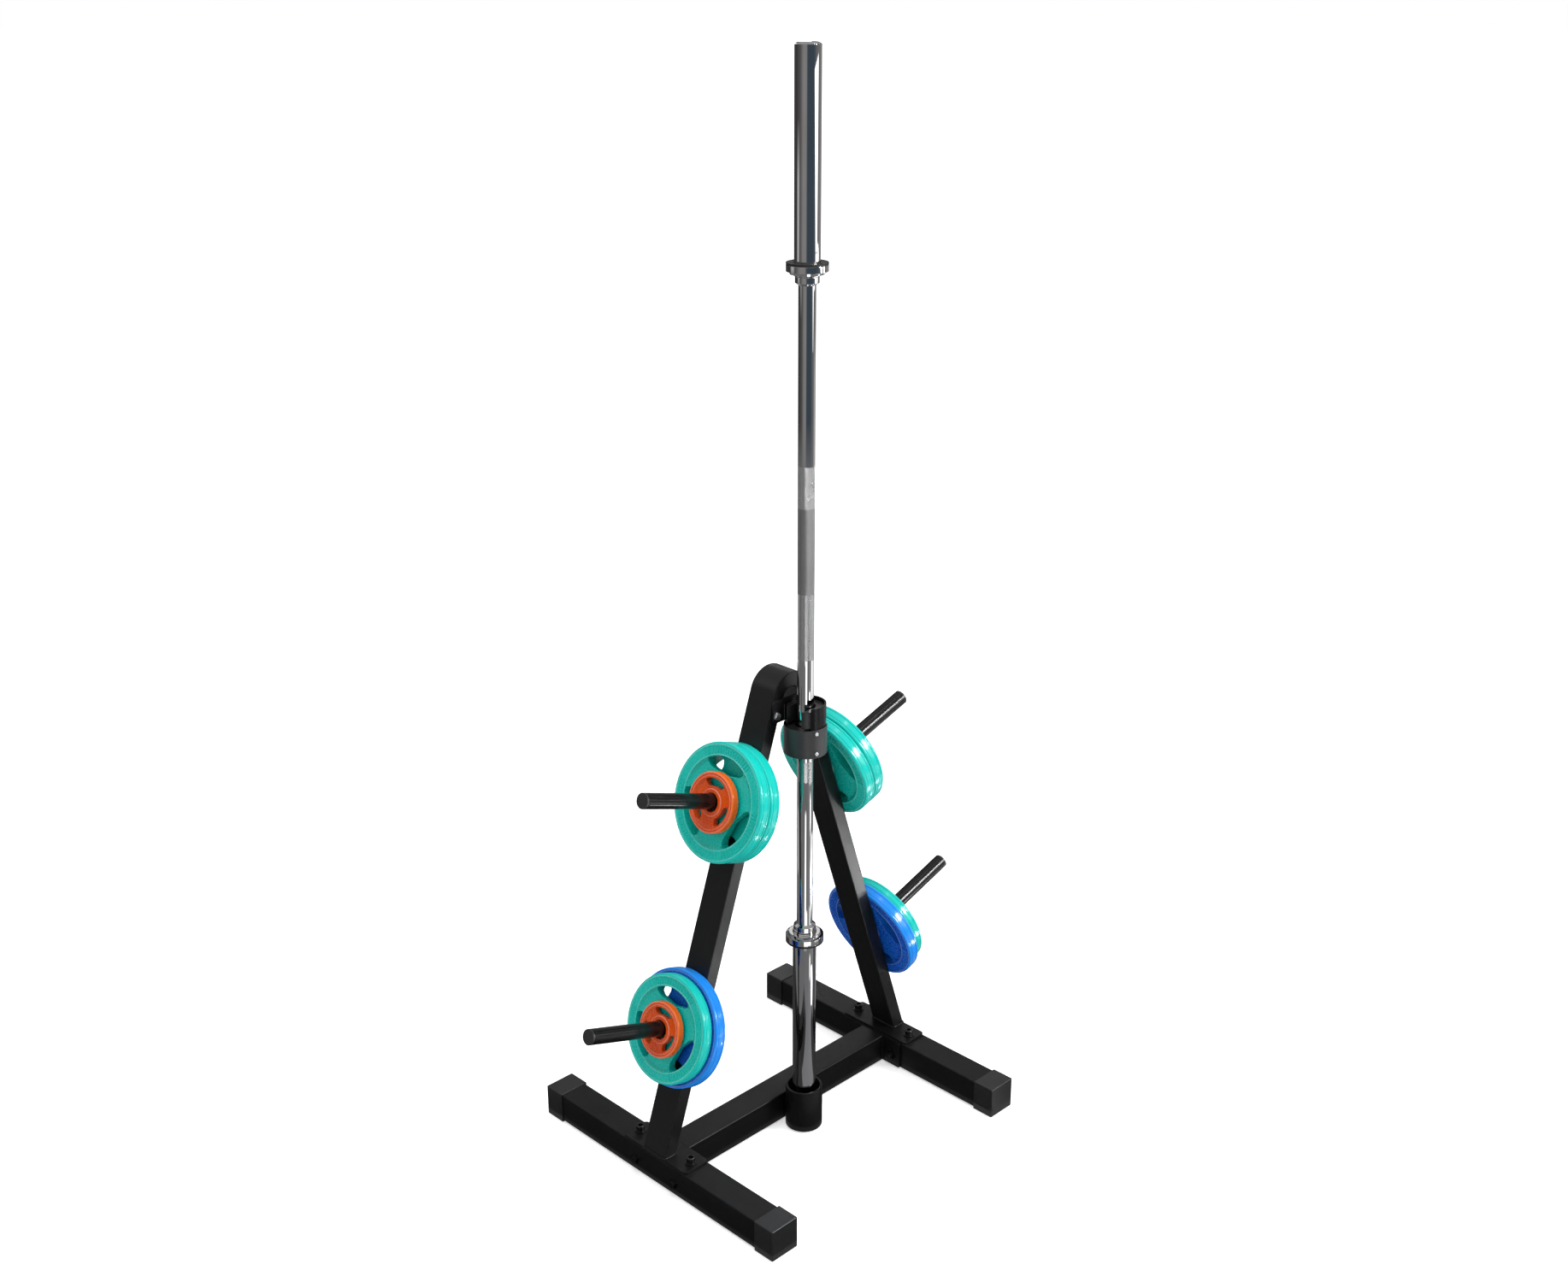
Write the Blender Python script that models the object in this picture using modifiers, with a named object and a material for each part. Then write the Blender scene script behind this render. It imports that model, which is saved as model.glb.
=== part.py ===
"""Weight plate rack: an A-frame on two feet, with four pegs of plates and a barbell that stands in a cup.

Metres, +Z up. The origin is on the floor, under the middle of the crossbar.
+X runs along the crossbar, and the barbell stands on the -Y side.
"""
import math

import bmesh
import bpy
from mathutils import Matrix, Vector

FIT = 0.0003                    # gap between pieces that touch
EDGE_BREAK = 0.0010             # chamfer on turned edges

# Square tube of the feet and the crossbar
TUBE = 0.0650
TUBE_WALL = 0.0025
TUBE_RADIUS = 0.0028
FOOT_LENGTH = 0.7085            # over the caps
FOOT_X = 0.3396                 # foot centre line from the middle
CAP_WALL = 0.00235
CAP_DEPTH = 0.0510
CAP_EDGE = 0.0020
CAP_SPACE = 0.0010              # between the tube's end and the inside of the cap

# Joint between crossbar and foot
JOINT_PLATE = 0.0050
JOINT_PLATE_WIDTH = 0.1680
JOINT_PLATE_HEIGHT = 0.0630
JOINT_BOLT_Y = 0.0600
JOINT_BOLT_Z = 0.0280
JOINT_BOLT_D = 0.0100
JOINT_HEAD_FLATS = 0.0170
JOINT_HEAD_HEIGHT = 0.0064
JOINT_NUT_HEIGHT = 0.0080        # welded to the plate
JOINT_BOLT_PROUD = 0.0030       # thread past the nut
WELD_LAP = 0.0010               # how deep a welded nut sits in its wall

# Plates under the legs
BASE_PLATE = 0.0050
BASE_PLATE_WIDTH = 0.0660
BASE_PLATE_LENGTH = 0.1940
BASE_CORNER = 0.0080
BASE_BOLT_EDGE = 0.0180         # bolt's axis from the plate's end
BASE_BOLT_D = 0.0120
BASE_BOLT_LENGTH = 0.0300
BASE_HEAD_D = 0.0180
BASE_HEAD_HEIGHT = 0.0120
BASE_SOCKET_FLATS = 0.0100
BASE_SOCKET_DEPTH = 0.0060
BASE_WASHER_D = 0.0240
BASE_WASHER = 0.0025
BASE_NUT_FLATS = 0.0190          # welded under the foot's top wall
BASE_NUT_HEIGHT = 0.0100

# A-frame of bent rectangular tube
LEAN = math.radians(18.75)      # legs from the vertical
LEG_DEPTH = 0.0320              # in the plane of the frame
LEG_WIDTH = 0.0670              # front to back
LEG_WALL = 0.0025
LEG_EDGE = 0.0028
BEND_RADIUS = 0.0540            # outer face of the top bend
BEND_STEPS = 8

# Pegs
PEG_D = 0.0322
PEG_WALL = 0.0025
PEG_LENGTH = 0.2640             # from the leg's face to the tip
UPPER_PEG = 0.7660              # up the leg's outer face from the base plate
LOWER_PEG = 0.2820
PEG_CAP = 0.0050
PEG_CAP_EDGE = 0.0015
PEG_PLUG = 0.0150

# Plates: radius, thickness and depth of the sunk web of each kind
LARGE_RADIUS, LARGE_THICK, LARGE_RECESS = 0.1230, 0.0283, 0.0047
MIDDLE_RADIUS, MIDDLE_THICK, MIDDLE_RECESS = 0.1130, 0.0252, 0.0042
SMALL_RADIUS, SMALL_THICK, SMALL_RECESS = 0.0631, 0.0175, 0.0028
LITTLE_RADIUS, LITTLE_THICK, LITTLE_RECESS = 0.0577, 0.0160, 0.0026
PLATE_BORE = 0.0380
PLATE_HUB = 0.0540
INNER_TURN = math.radians(60)   # an inner plate stands turned under the outer one
RIM_ROUND = 0.19                # rounding of the rim's edges, as a share of the thickness
RIM_INSIDE = 0.025              # the rim's flat starts this far past the windows, as a share of the radius
WEB_OUTSIDE = 0.035             # and the web ends this far before their outer ends

# Grip windows, as shares of the plate's radius and of the window's depth
WINDOW_HALF = math.radians(34)
WINDOW_ARC = 5
WINDOW_CORNER = 0.9             # how far round the outer arc runs before its corners
LARGE_REACH = (0.765, 0.455)    # outer and inner ends of a window
SMALL_REACH = (0.790, 0.530)
LARGE_SIDE = ((0.10, 1.0), (0.39, 1.0), (0.69, 0.76), (0.90, 0.41))
SMALL_SIDE = ((0.18, 1.0), (0.62, 1.02), (0.92, 0.84), (0.97, 0.42))

# Cup
CUP_D = 0.0804
CUP_WALL = 0.0057
CUP_BOTTOM = 0.0030             # its lowest edge above the floor
CUP_TOP = 0.1000
CUP_FLOOR = 0.0050
CUP_EDGE = 0.0040
CUP_LIP = 0.0015                # rounding of its mouth
BAR_REST = 0.0690               # top of the cup's floor

# Barbell
BAR_LENGTH = 2.2000
SHAFT_D = 0.0340
SLEEVE_D = 0.0500
SLEEVE_BORE = 0.0390
SLEEVE_SHOWN = 0.3885           # sleeve from its end to the flange's outer face
END_CAP = 0.0040
END_PLUG = 0.0120
SHAFT_INSET = 0.0180            # shaft's end from the bar's end
GROOVE_INSET = 0.0260
GROOVE_WIDTH = 0.0030
GROOVE_D = 0.0300
RETAINER_WIDTH = 0.0022
RETAINER_D = 0.0372
FLANGE_D = 0.0804
FLANGE_RING = 0.0040
FLANGE_THICK = 0.0224           # with its ring
FLANGE_BEVEL = 0.0070
FLANGE_BEVEL_RISE = 0.0056
HUB_LENGTH = 0.0031
NECK_D = 0.0466
NECK_GAP = 0.0007
NECK_LENGTH = 0.0155
NECK_BEVEL = 0.0036

# Holder
HOLDER_D = 0.0845
HOLDER_WALL = 0.0035
HOLDER_BOTTOM = 0.8965
HOLDER_TOP = 1.0010
HOLDER_MOUTH = math.radians(120)
COLLAR_WALL = 0.0019
COLLAR_BOTTOM = 0.8946
COLLAR_TOP = 0.9555
COLLAR_MOUTH = math.radians(90)
ROTOR_TOP = 0.9660
ROTOR_BORE = 0.0410
SCREW_ANGLE = math.radians(15.7)    # from -Y towards -X
SCREW_LOW = 0.9043
SCREW_HIGH = 0.9476
SCREW_D = 0.0050
SCREW_HEAD_D = 0.0090
SCREW_HEAD = 0.0026
SCREW_DEPTH = 0.0120            # into the rotor
SCREW_TIP = 0.0010              # space past the screw's tip
BRACKET = 0.0050
BRACKET_WIDTH = 0.1140
BRACKET_BOTTOM = 0.9590
BRACKET_TOP = 1.0065
BRACKET_CORNER = 0.0080
BRACKET_BOLT_X = 0.0480
BRACKET_BOLT_Z = 0.9745
BRACKET_BOLT_D = 0.0080
BRACKET_HEAD_D = 0.0150
BRACKET_HEAD = 0.0060
BRACKET_BOLT_REACH = 0.0150

# Facets round a turn
PLATE_FACETS = 24
BAR_FACETS = 16
PEG_FACETS = 16
HOLDER_FACETS = 32
BOLT_FACETS = 10

# Places worked out from the sizes above
FOOT_BOTTOM = CAP_WALL + FIT
FOOT_TOP = FOOT_BOTTOM + TUBE
FOOT_FACE = FOOT_X - TUBE / 2
BASE_BOLT_Y = BASE_PLATE_LENGTH / 2 - BASE_BOLT_EDGE
BASE_BOTTOM = FOOT_TOP + FIT
BASE_TOP = BASE_BOTTOM + BASE_PLATE
LEG_BOTTOM = BASE_TOP + FIT
LEG_OUT = FOOT_X + TUBE / 2     # the leg's outer face at its foot
BEND_Z = LEG_BOTTOM + (LEG_OUT * math.cos(LEAN) - BEND_RADIUS) / math.sin(LEAN)
BAR_Y = -(TUBE / 2 + FIT + CUP_D / 2)
BAR_BOTTOM = BAR_REST + FIT
BAR_TOP = BAR_BOTTOM + BAR_LENGTH
BRACKET_FACE = -LEG_WIDTH / 2 - FIT - BRACKET

rack = None
cutters = None


def new_collection(name):
    """A collection in the scene."""
    collection = bpy.data.collections.new(name)
    bpy.context.scene.collection.children.link(collection)
    return collection


def make_material(name, colour, roughness, metallic=0.0):
    """A plain Principled material."""
    material = bpy.data.materials.new(name)
    material.use_nodes = True
    shader = material.node_tree.nodes["Principled BSDF"]
    shader.inputs["Base Color"].default_value = (*colour, 1.0)
    shader.inputs["Roughness"].default_value = roughness
    shader.inputs["Metallic"].default_value = metallic
    material.diffuse_color = (*colour, 1.0)
    return material


def make_materials():
    """One material for each finish of the rack, the bar and the plates."""
    looks = {
        "powder_coat": ((0.012, 0.012, 0.013), 0.42, 0.0),
        "black_plastic": ((0.010, 0.010, 0.011), 0.50, 0.0),
        "black_nylon": ((0.014, 0.014, 0.015), 0.55, 0.0),
        "black_rubber": ((0.009, 0.009, 0.009), 0.75, 0.0),
        "chrome": ((0.55, 0.55, 0.56), 0.10, 1.0),
        "bronze": ((0.42, 0.25, 0.11), 0.35, 1.0),
        "zinc": ((0.50, 0.51, 0.53), 0.30, 1.0),
        "black_oxide": ((0.030, 0.030, 0.033), 0.40, 1.0),
        "turquoise": ((0.010, 0.37, 0.31), 0.35, 0.0),
        "orange": ((0.55, 0.060, 0.004), 0.35, 0.0),
        "blue": ((0.006, 0.075, 0.50), 0.35, 0.0),
    }
    return {name: make_material(name, *look) for name, look in looks.items()}


def add_object(name, mesh, material=None, parent=None, matrix=None):
    """Puts a mesh in the rack's collection, or in the cutters' where it has no material."""
    item = bpy.data.objects.new(name, mesh)
    if material is None:
        cutters.objects.link(item)
        item.hide_render = True
        item.display_type = "WIRE"
    else:
        rack.objects.link(item)
        if not mesh.materials:
            mesh.materials.append(material)
        item.material_slots[0].link = "OBJECT"
        item.material_slots[0].material = material
    item.parent = parent
    if matrix is not None:
        item.matrix_local = matrix
    return item


def add_empty(name, matrix):
    """A guide frame that pieces hang from."""
    empty = bpy.data.objects.new(name, None)
    empty.hide_render = True
    rack.objects.link(empty)
    empty.matrix_world = matrix
    return empty


def mesh_from(name, bm):
    """Turns a bmesh into a mesh with its faces pointing out."""
    bmesh.ops.recalc_face_normals(bm, faces=bm.faces)
    mesh = bpy.data.meshes.new(name)
    bm.to_mesh(mesh)
    bm.free()
    return mesh


def applied(item):
    """The mesh that an object's modifiers make; the object itself is removed."""
    bpy.context.view_layer.update()
    evaluated = item.evaluated_get(bpy.context.evaluated_depsgraph_get())
    mesh = bpy.data.meshes.new_from_object(evaluated)
    bpy.data.objects.remove(item)
    return mesh


def smooth(mesh, degrees=32):
    """Smooth shading, broken at the real edges."""
    mesh.shade_smooth()
    mesh.set_sharp_from_angle(angle=math.radians(degrees))
    return mesh


def cut(item, cutter, operation="DIFFERENCE"):
    """Cuts one object with another."""
    modifier = item.modifiers.new("cut", "BOOLEAN")
    modifier.operation = operation
    modifier.solver = "EXACT"
    modifier.object = cutter


def box_mesh(name, size, centre=(0, 0, 0), edge=0.0, upright=False):
    """A box, with its edges (or only its upright ones) rounded."""
    bm = bmesh.new()
    bmesh.ops.create_cube(bm, size=1.0)
    bmesh.ops.scale(bm, vec=size, verts=bm.verts)
    if edge:
        lengths = {e: e.verts[0].co - e.verts[1].co for e in bm.edges}
        chosen = [e for e, way in lengths.items() if not upright or abs(way.normalized().z) > 0.9]
        bmesh.ops.bevel(bm, geom=chosen, offset=edge, segments=2, profile=0.5, affect="EDGES")
    bmesh.ops.translate(bm, vec=centre, verts=bm.verts)
    return mesh_from(name, bm)


def rod_mesh(name, diameter, length, facets, axis="Z", centre=(0, 0, 0)):
    """A plain cylinder along an axis, round its centre."""
    bm = bmesh.new()
    radius = diameter / 2
    bmesh.ops.create_cone(bm, cap_ends=True, segments=facets, radius1=radius, radius2=radius, depth=length)
    if axis == "X":
        bmesh.ops.rotate(bm, matrix=Matrix.Rotation(math.pi / 2, 3, "Y"), verts=bm.verts)
    if axis == "Y":
        bmesh.ops.rotate(bm, matrix=Matrix.Rotation(math.pi / 2, 3, "X"), verts=bm.verts)
    bmesh.ops.translate(bm, vec=centre, verts=bm.verts)
    return mesh_from(name, bm)


def turned_mesh(name, profile, facets, closed=True):
    """A profile of (radius, height) turned round Z; closed where the piece has a bore."""
    mesh = bpy.data.meshes.new(name)
    edges = [(i, i + 1) for i in range(len(profile) - 1)]
    if closed:
        edges.append((len(profile) - 1, 0))
    mesh.from_pydata([(r, 0.0, z) for r, z in profile], edges, [])
    item = bpy.data.objects.new(name, mesh)
    cutters.objects.link(item)
    screw = item.modifiers.new("turn", "SCREW")
    screw.steps = facets
    screw.render_steps = facets
    screw.use_merge_vertices = True
    screw.merge_threshold = 0.00001
    return smooth(applied(item))


def outline_mesh(name, loops, thickness):
    """Flat outlines in XY, filled and thickened evenly about their plane."""
    curve = bpy.data.curves.new(name, "CURVE")
    curve.dimensions = "2D"
    curve.fill_mode = "BOTH"
    curve.extrude = thickness / 2
    for loop in loops:
        spline = curve.splines.new("POLY")
        spline.points.add(len(loop) - 1)
        for point, (x, y) in zip(spline.points, loop):
            point.co = (x, y, 0.0, 1.0)
        spline.use_cyclic_u = True
    item = bpy.data.objects.new(name, curve)
    cutters.objects.link(item)
    mesh = applied(item)
    bpy.data.curves.remove(curve)
    bm = bmesh.new()
    bm.from_mesh(mesh)
    bpy.data.meshes.remove(mesh)
    bmesh.ops.remove_doubles(bm, verts=bm.verts, dist=0.00001)
    return mesh_from(name, bm)


def open_tube(name, section, length, wall, radius, material, matrix, closed_end=False):
    """A rectangular tube along Z: an open skin, rounded along its corners and thickened inwards."""
    bm = bmesh.new()
    bmesh.ops.create_cube(bm, size=1.0)
    bmesh.ops.scale(bm, vec=(section[0], section[1], length), verts=bm.verts)
    bm.normal_update()
    ends = [f for f in bm.faces if abs(f.normal.z) > 0.5 and (f.normal.z > 0 or not closed_end)]
    bmesh.ops.delete(bm, geom=ends, context="FACES_ONLY")
    sides = [e for e in bm.edges if not e.is_boundary]
    bmesh.ops.bevel(bm, geom=sides, offset=radius, segments=2, profile=0.5, affect="EDGES")
    item = add_object(name, mesh_from(name, bm), material, matrix=matrix)
    shell = item.modifiers.new("wall", "SOLIDIFY")
    shell.thickness = wall
    shell.offset = -1.0
    shell.use_even_offset = True
    return item


def along(axis, place):
    """A frame at a place whose local Z looks along an axis."""
    turn = Vector((0, 0, 1)).rotation_difference(Vector(axis)).to_matrix().to_4x4()
    return Matrix.Translation(place) @ turn


def hexagon(flats):
    """Diameter over the corners of a hexagon."""
    return flats / math.cos(math.pi / 6)


def bolt_mesh(name, head_mesh, shank_d, shank_length):
    """A head on Z = 0, looking up, with its shank below, as one solid."""
    bm = bmesh.new()
    bm.from_mesh(head_mesh)
    head = add_object(name + "_head", mesh_from(name, bm))
    overlap = 0.001
    depth = shank_length + overlap
    shank = add_object(
        name + "_shank", rod_mesh(name, shank_d, depth, BOLT_FACETS, centre=(0, 0, overlap - depth / 2)))
    cut(head, shank, "UNION")
    mesh = applied(head)
    bpy.data.objects.remove(shank)
    return smooth(mesh)


def hex_head(name, flats, height):
    """A hexagon head standing on Z = 0, its top edge turned down a little."""
    bm = bmesh.new()
    bmesh.ops.create_cone(
        bm, cap_ends=True, segments=6, radius1=hexagon(flats) / 2, radius2=hexagon(flats) / 2, depth=height)
    bmesh.ops.translate(bm, vec=(0, 0, height / 2), verts=bm.verts)
    return mesh_from(name, bm)


def weld_nut(item, flats, height, axis, place):
    """Joins a hexagon nut to a wall at a place on its face, standing off along an axis."""
    nut = hex_head("weld_nut", flats, height + WELD_LAP)
    sunk = Vector(place) - Vector(axis) * WELD_LAP
    cut(item, add_object("weld_nut", nut, matrix=along(axis, sunk)), "UNION")


def make_feet(looks):
    """Two floor tubes, each with a cap on both ends."""
    tube_length = FOOT_LENGTH - 2 * (CAP_WALL + CAP_SPACE)
    cap_size = TUBE + 2 * (CAP_WALL + FIT)
    for side, word in ((-1, "left"), (1, "right")):
        middle = Vector((side * FOOT_X, 0, FOOT_BOTTOM + TUBE / 2))
        foot = open_tube(
            word + "_foot", (TUBE, TUBE), tube_length, TUBE_WALL, TUBE_RADIUS, looks["powder_coat"],
            along((0, 1, 0), middle))
        for y in (-BASE_BOLT_Y, BASE_BOLT_Y):
            under_wall = (side * FOOT_X, y, FOOT_TOP - TUBE_WALL)
            weld_nut(foot, BASE_NUT_FLATS, BASE_NUT_HEIGHT, (0, 0, -1), under_wall)
            hole = rod_mesh("foot_bolt_hole", BASE_BOLT_D + 2 * FIT, TUBE / 2, BOLT_FACETS,
                            centre=(side * FOOT_X, y, FOOT_TOP))
            cut(foot, add_object("foot_bolt_hole", hole))
        for y in (-JOINT_BOLT_Y, JOINT_BOLT_Y):
            hole = rod_mesh("foot_cross_hole", JOINT_BOLT_D + 2 * FIT, TUBE * 2, BOLT_FACETS, "X",
                            centre=(side * FOOT_X, y, JOINT_BOLT_Z))
            cut(foot, add_object("foot_cross_hole", hole))
        for end, end_word in ((-1, "front"), (1, "back")):
            place = middle + Vector((0, end * (FOOT_LENGTH - CAP_DEPTH) / 2, 0))
            open_tube(
                f"{word}_{end_word}_foot_cap", (cap_size, cap_size), CAP_DEPTH, CAP_WALL, CAP_EDGE,
                looks["black_plastic"], along((0, -end, 0), place), closed_end=True)


def make_crossbar(looks):
    """The tube between the feet and the bolted plates on its ends."""
    plate_inner = FOOT_FACE - FIT - JOINT_PLATE
    height = FOOT_BOTTOM + TUBE / 2
    open_tube(
        "crossbar", (TUBE, TUBE), 2 * (plate_inner - FIT), TUBE_WALL, TUBE_RADIUS, looks["powder_coat"],
        along((1, 0, 0), (0, 0, height)))
    shank = FIT + TUBE + FIT + JOINT_PLATE + JOINT_NUT_HEIGHT + JOINT_BOLT_PROUD
    head = hex_head("joint_head", JOINT_HEAD_FLATS, JOINT_HEAD_HEIGHT)
    bolt = bolt_mesh("joint_bolt", head, JOINT_BOLT_D - 2 * FIT, shank)
    for side, word in ((-1, "left"), (1, "right")):
        size = (JOINT_PLATE, JOINT_PLATE_WIDTH, JOINT_PLATE_HEIGHT)
        centre = (side * (plate_inner + JOINT_PLATE / 2), 0, height)
        name = word + "_joint_plate"
        plate = add_object(name, box_mesh(name, size, centre), looks["powder_coat"])
        for y, end_word in ((-JOINT_BOLT_Y, "front"), (JOINT_BOLT_Y, "back")):
            place = (side * plate_inner, y, JOINT_BOLT_Z)
            weld_nut(plate, JOINT_HEAD_FLATS, JOINT_NUT_HEIGHT, (-side, 0, 0), place)
            hole = rod_mesh("joint_hole", JOINT_BOLT_D + 2 * FIT, TUBE, BOLT_FACETS, "X", centre=place)
            cut(plate, add_object("joint_hole", hole))
            seat = along((side, 0, 0), (side * (FOOT_X + TUBE / 2 + FIT), y, JOINT_BOLT_Z))
            add_object(f"{word}_{end_word}_joint_bolt", bolt, looks["black_oxide"], matrix=seat)


def base_bolt_mesh():
    """A socket head screw with its washer, standing on Z = 0."""
    rim, head = BASE_WASHER_D / 2, BASE_HEAD_D / 2
    top = BASE_WASHER + BASE_HEAD_HEIGHT
    profile = [(0, top), (head - EDGE_BREAK, top), (head, top - EDGE_BREAK), (head, BASE_WASHER),
               (rim, BASE_WASHER), (rim, 0), (0, 0)]
    blank = add_object("base_bolt_blank", turned_mesh("base_bolt", profile, BOLT_FACETS, closed=False))
    bore = rod_mesh("socket", hexagon(BASE_SOCKET_FLATS), BASE_SOCKET_DEPTH * 2, 6, centre=(0, 0, top))
    socket = add_object("socket", bore)
    cut(blank, socket)
    mesh = applied(blank)
    bpy.data.objects.remove(socket)
    return bolt_mesh("base_bolt", mesh, BASE_BOLT_D - 2 * FIT, BASE_BOLT_LENGTH)


def make_base_plates(looks):
    """The plates on the feet and the screws through them."""
    screw = base_bolt_mesh()
    for side, word in ((-1, "left"), (1, "right")):
        size = (BASE_PLATE_WIDTH, BASE_PLATE_LENGTH, BASE_PLATE)
        centre = (side * FOOT_X, 0, BASE_BOTTOM + BASE_PLATE / 2)
        mesh = box_mesh(word + "_base_plate", size, centre, BASE_CORNER, upright=True)
        plate = add_object(word + "_base_plate", mesh, looks["powder_coat"])
        for y, end_word in ((-BASE_BOLT_Y, "front"), (BASE_BOLT_Y, "back")):
            hole = rod_mesh("base_hole", BASE_BOLT_D + 2 * FIT, TUBE / 2, BOLT_FACETS,
                            centre=(side * FOOT_X, y, BASE_TOP))
            cut(plate, add_object("base_hole", hole))
            seat = Matrix.Translation((side * FOOT_X, y, BASE_TOP + FIT))
            add_object(f"{word}_{end_word}_base_bolt", screw, looks["black_oxide"], matrix=seat)


def arch_line(inset, foot):
    """One side of the bent tube in XZ, at an inset from its outer face, from foot to foot."""
    radius = BEND_RADIUS - inset
    points = []
    for step in range(BEND_STEPS + 1):
        angle = math.pi - LEAN - step * (math.pi - 2 * LEAN) / BEND_STEPS
        points.append((radius * math.cos(angle), BEND_Z + radius * math.sin(angle)))
    drop = points[0][1] - foot
    reach = drop * math.tan(LEAN)
    start = (points[0][0] - reach, foot)
    end = (points[-1][0] + reach, foot)
    return [start] + points + [end]


def arch_band(outer, inner, foot):
    """The closed outline between two sides of the bent tube."""
    return arch_line(outer, foot) + arch_line(inner, foot)[::-1]


def make_a_frame(looks):
    """Two leaning legs and the bend over them, one hollow tube with rounded long edges."""
    stand_up = Matrix.Rotation(math.pi / 2, 4, "X")
    mesh = outline_mesh("a_frame", [arch_band(0, LEG_DEPTH, LEG_BOTTOM)], LEG_WIDTH)
    weights = mesh.attributes.new("bevel_weight_edge", "FLOAT", "EDGE")
    for edge in mesh.edges:
        a, b = (mesh.vertices[i].co for i in edge.vertices)
        on_a_face = abs(a.z - b.z) < FIT
        at_the_foot = max(a.y, b.y) < LEG_BOTTOM + FIT
        weights.data[edge.index].value = 1.0 if on_a_face and not at_the_foot else 0.0
    frame = add_object("a_frame", mesh, looks["powder_coat"], matrix=stand_up)
    rounding = frame.modifiers.new("rounded_edges", "BEVEL")
    rounding.limit_method = "WEIGHT"
    rounding.width = LEG_EDGE
    rounding.segments = 2
    below = LEG_BOTTOM - LEG_DEPTH
    hollow = outline_mesh(
        "leg_hollow", [arch_band(LEG_WALL, LEG_DEPTH - LEG_WALL, below)], LEG_WIDTH - 2 * LEG_WALL)
    cut(frame, add_object("leg_hollow", hollow, matrix=stand_up))
    for x in (-BRACKET_BOLT_X, BRACKET_BOLT_X):
        hole = rod_mesh("bracket_bolt_hole", BRACKET_BOLT_D + 2 * FIT, LEG_WIDTH / 2, BOLT_FACETS, "Y",
                        centre=(x, -LEG_WIDTH / 2, BRACKET_BOLT_Z))
        cut(frame, add_object("leg_front_hole", hole))


def peg_frame(side, height):
    """At a peg's root on the leg's outer face: Z out along the peg, X up the leg."""
    up = Vector((-side * math.sin(LEAN), 0, math.cos(LEAN)))
    out = Vector((side * math.cos(LEAN), 0, math.sin(LEAN)))
    across = out.cross(up)
    place = Vector((side * LEG_OUT, 0, LEG_BOTTOM)) + up * height
    frame = Matrix((up, across, out)).transposed().to_4x4()
    return Matrix.Translation(place) @ frame


def peg_meshes():
    """A peg's tube and the plug-in cap on its tip."""
    radius = PEG_D / 2
    bore = radius - PEG_WALL
    tip = PEG_LENGTH - PEG_CAP
    end = tip - FIT
    tube = turned_mesh("peg", [(bore, end), (radius, end), (radius, FIT), (bore, FIT)], PEG_FACETS)
    plug = bore - FIT
    cap = turned_mesh("peg_cap", [
        (0, PEG_LENGTH), (radius - PEG_CAP_EDGE, PEG_LENGTH), (radius, PEG_LENGTH - PEG_CAP_EDGE), (radius, tip),
        (plug, tip), (plug, tip - PEG_PLUG), (0, tip - PEG_PLUG)], PEG_FACETS, closed=False)
    return tube, cap


def window_outline(radius, outer, inner, side):
    """One grip window: an arc along the rim, round corners, and a shallow curve round the hub."""
    depth = outer - inner
    half_arc = WINDOW_HALF * WINDOW_CORNER
    arc = [(outer, half_arc * (2 * step / (WINDOW_ARC - 1) - 1)) for step in range(WINDOW_ARC)]
    down = [(outer - depth * share, WINDOW_HALF * turn) for share, turn in side]
    points = arc + down + [(inner, 0.0)] + [(r, -a) for r, a in reversed(down)]
    return [(radius * r * math.cos(a), radius * r * math.sin(a)) for r, a in points]


def plate_mesh(name, radius, thick, recess, reach, side):
    """A three-grip plate lying on Z = 0: raised rim and hub, sunk web, three windows."""
    outer, inner = reach
    bore = PLATE_BORE / 2
    hub = PLATE_HUB / 2
    round_over = thick * RIM_ROUND
    rim_inner = radius * (outer + RIM_INSIDE)
    web_outer = radius * (outer - WEB_OUTSIDE)
    half = thick / 2
    hub_top = half - EDGE_BREAK
    top = [
        (bore, hub_top), (hub, hub_top), (hub + EDGE_BREAK, half - recess), (web_outer, half - recess),
        (rim_inner, half), (radius - round_over * 0.75, half), (radius, half - round_over)]
    profile = top + [(r, -z) for r, z in reversed(top)]
    plate = add_object(name, turned_mesh(name, [(r, z + half) for r, z in profile], PLATE_FACETS))
    window = outline_mesh(name + "_window", [
        [(x * math.cos(a) - y * math.sin(a), x * math.sin(a) + y * math.cos(a))
         for x, y in window_outline(radius, outer, inner, side)]
        for a in (0, math.tau / 3, -math.tau / 3)], thick * 2)
    cutter = add_object(name + "_window", window, matrix=Matrix.Translation((0, 0, half)))
    cut(plate, cutter)
    mesh = applied(plate)
    bpy.data.objects.remove(cutter)
    return smooth(mesh)


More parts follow.
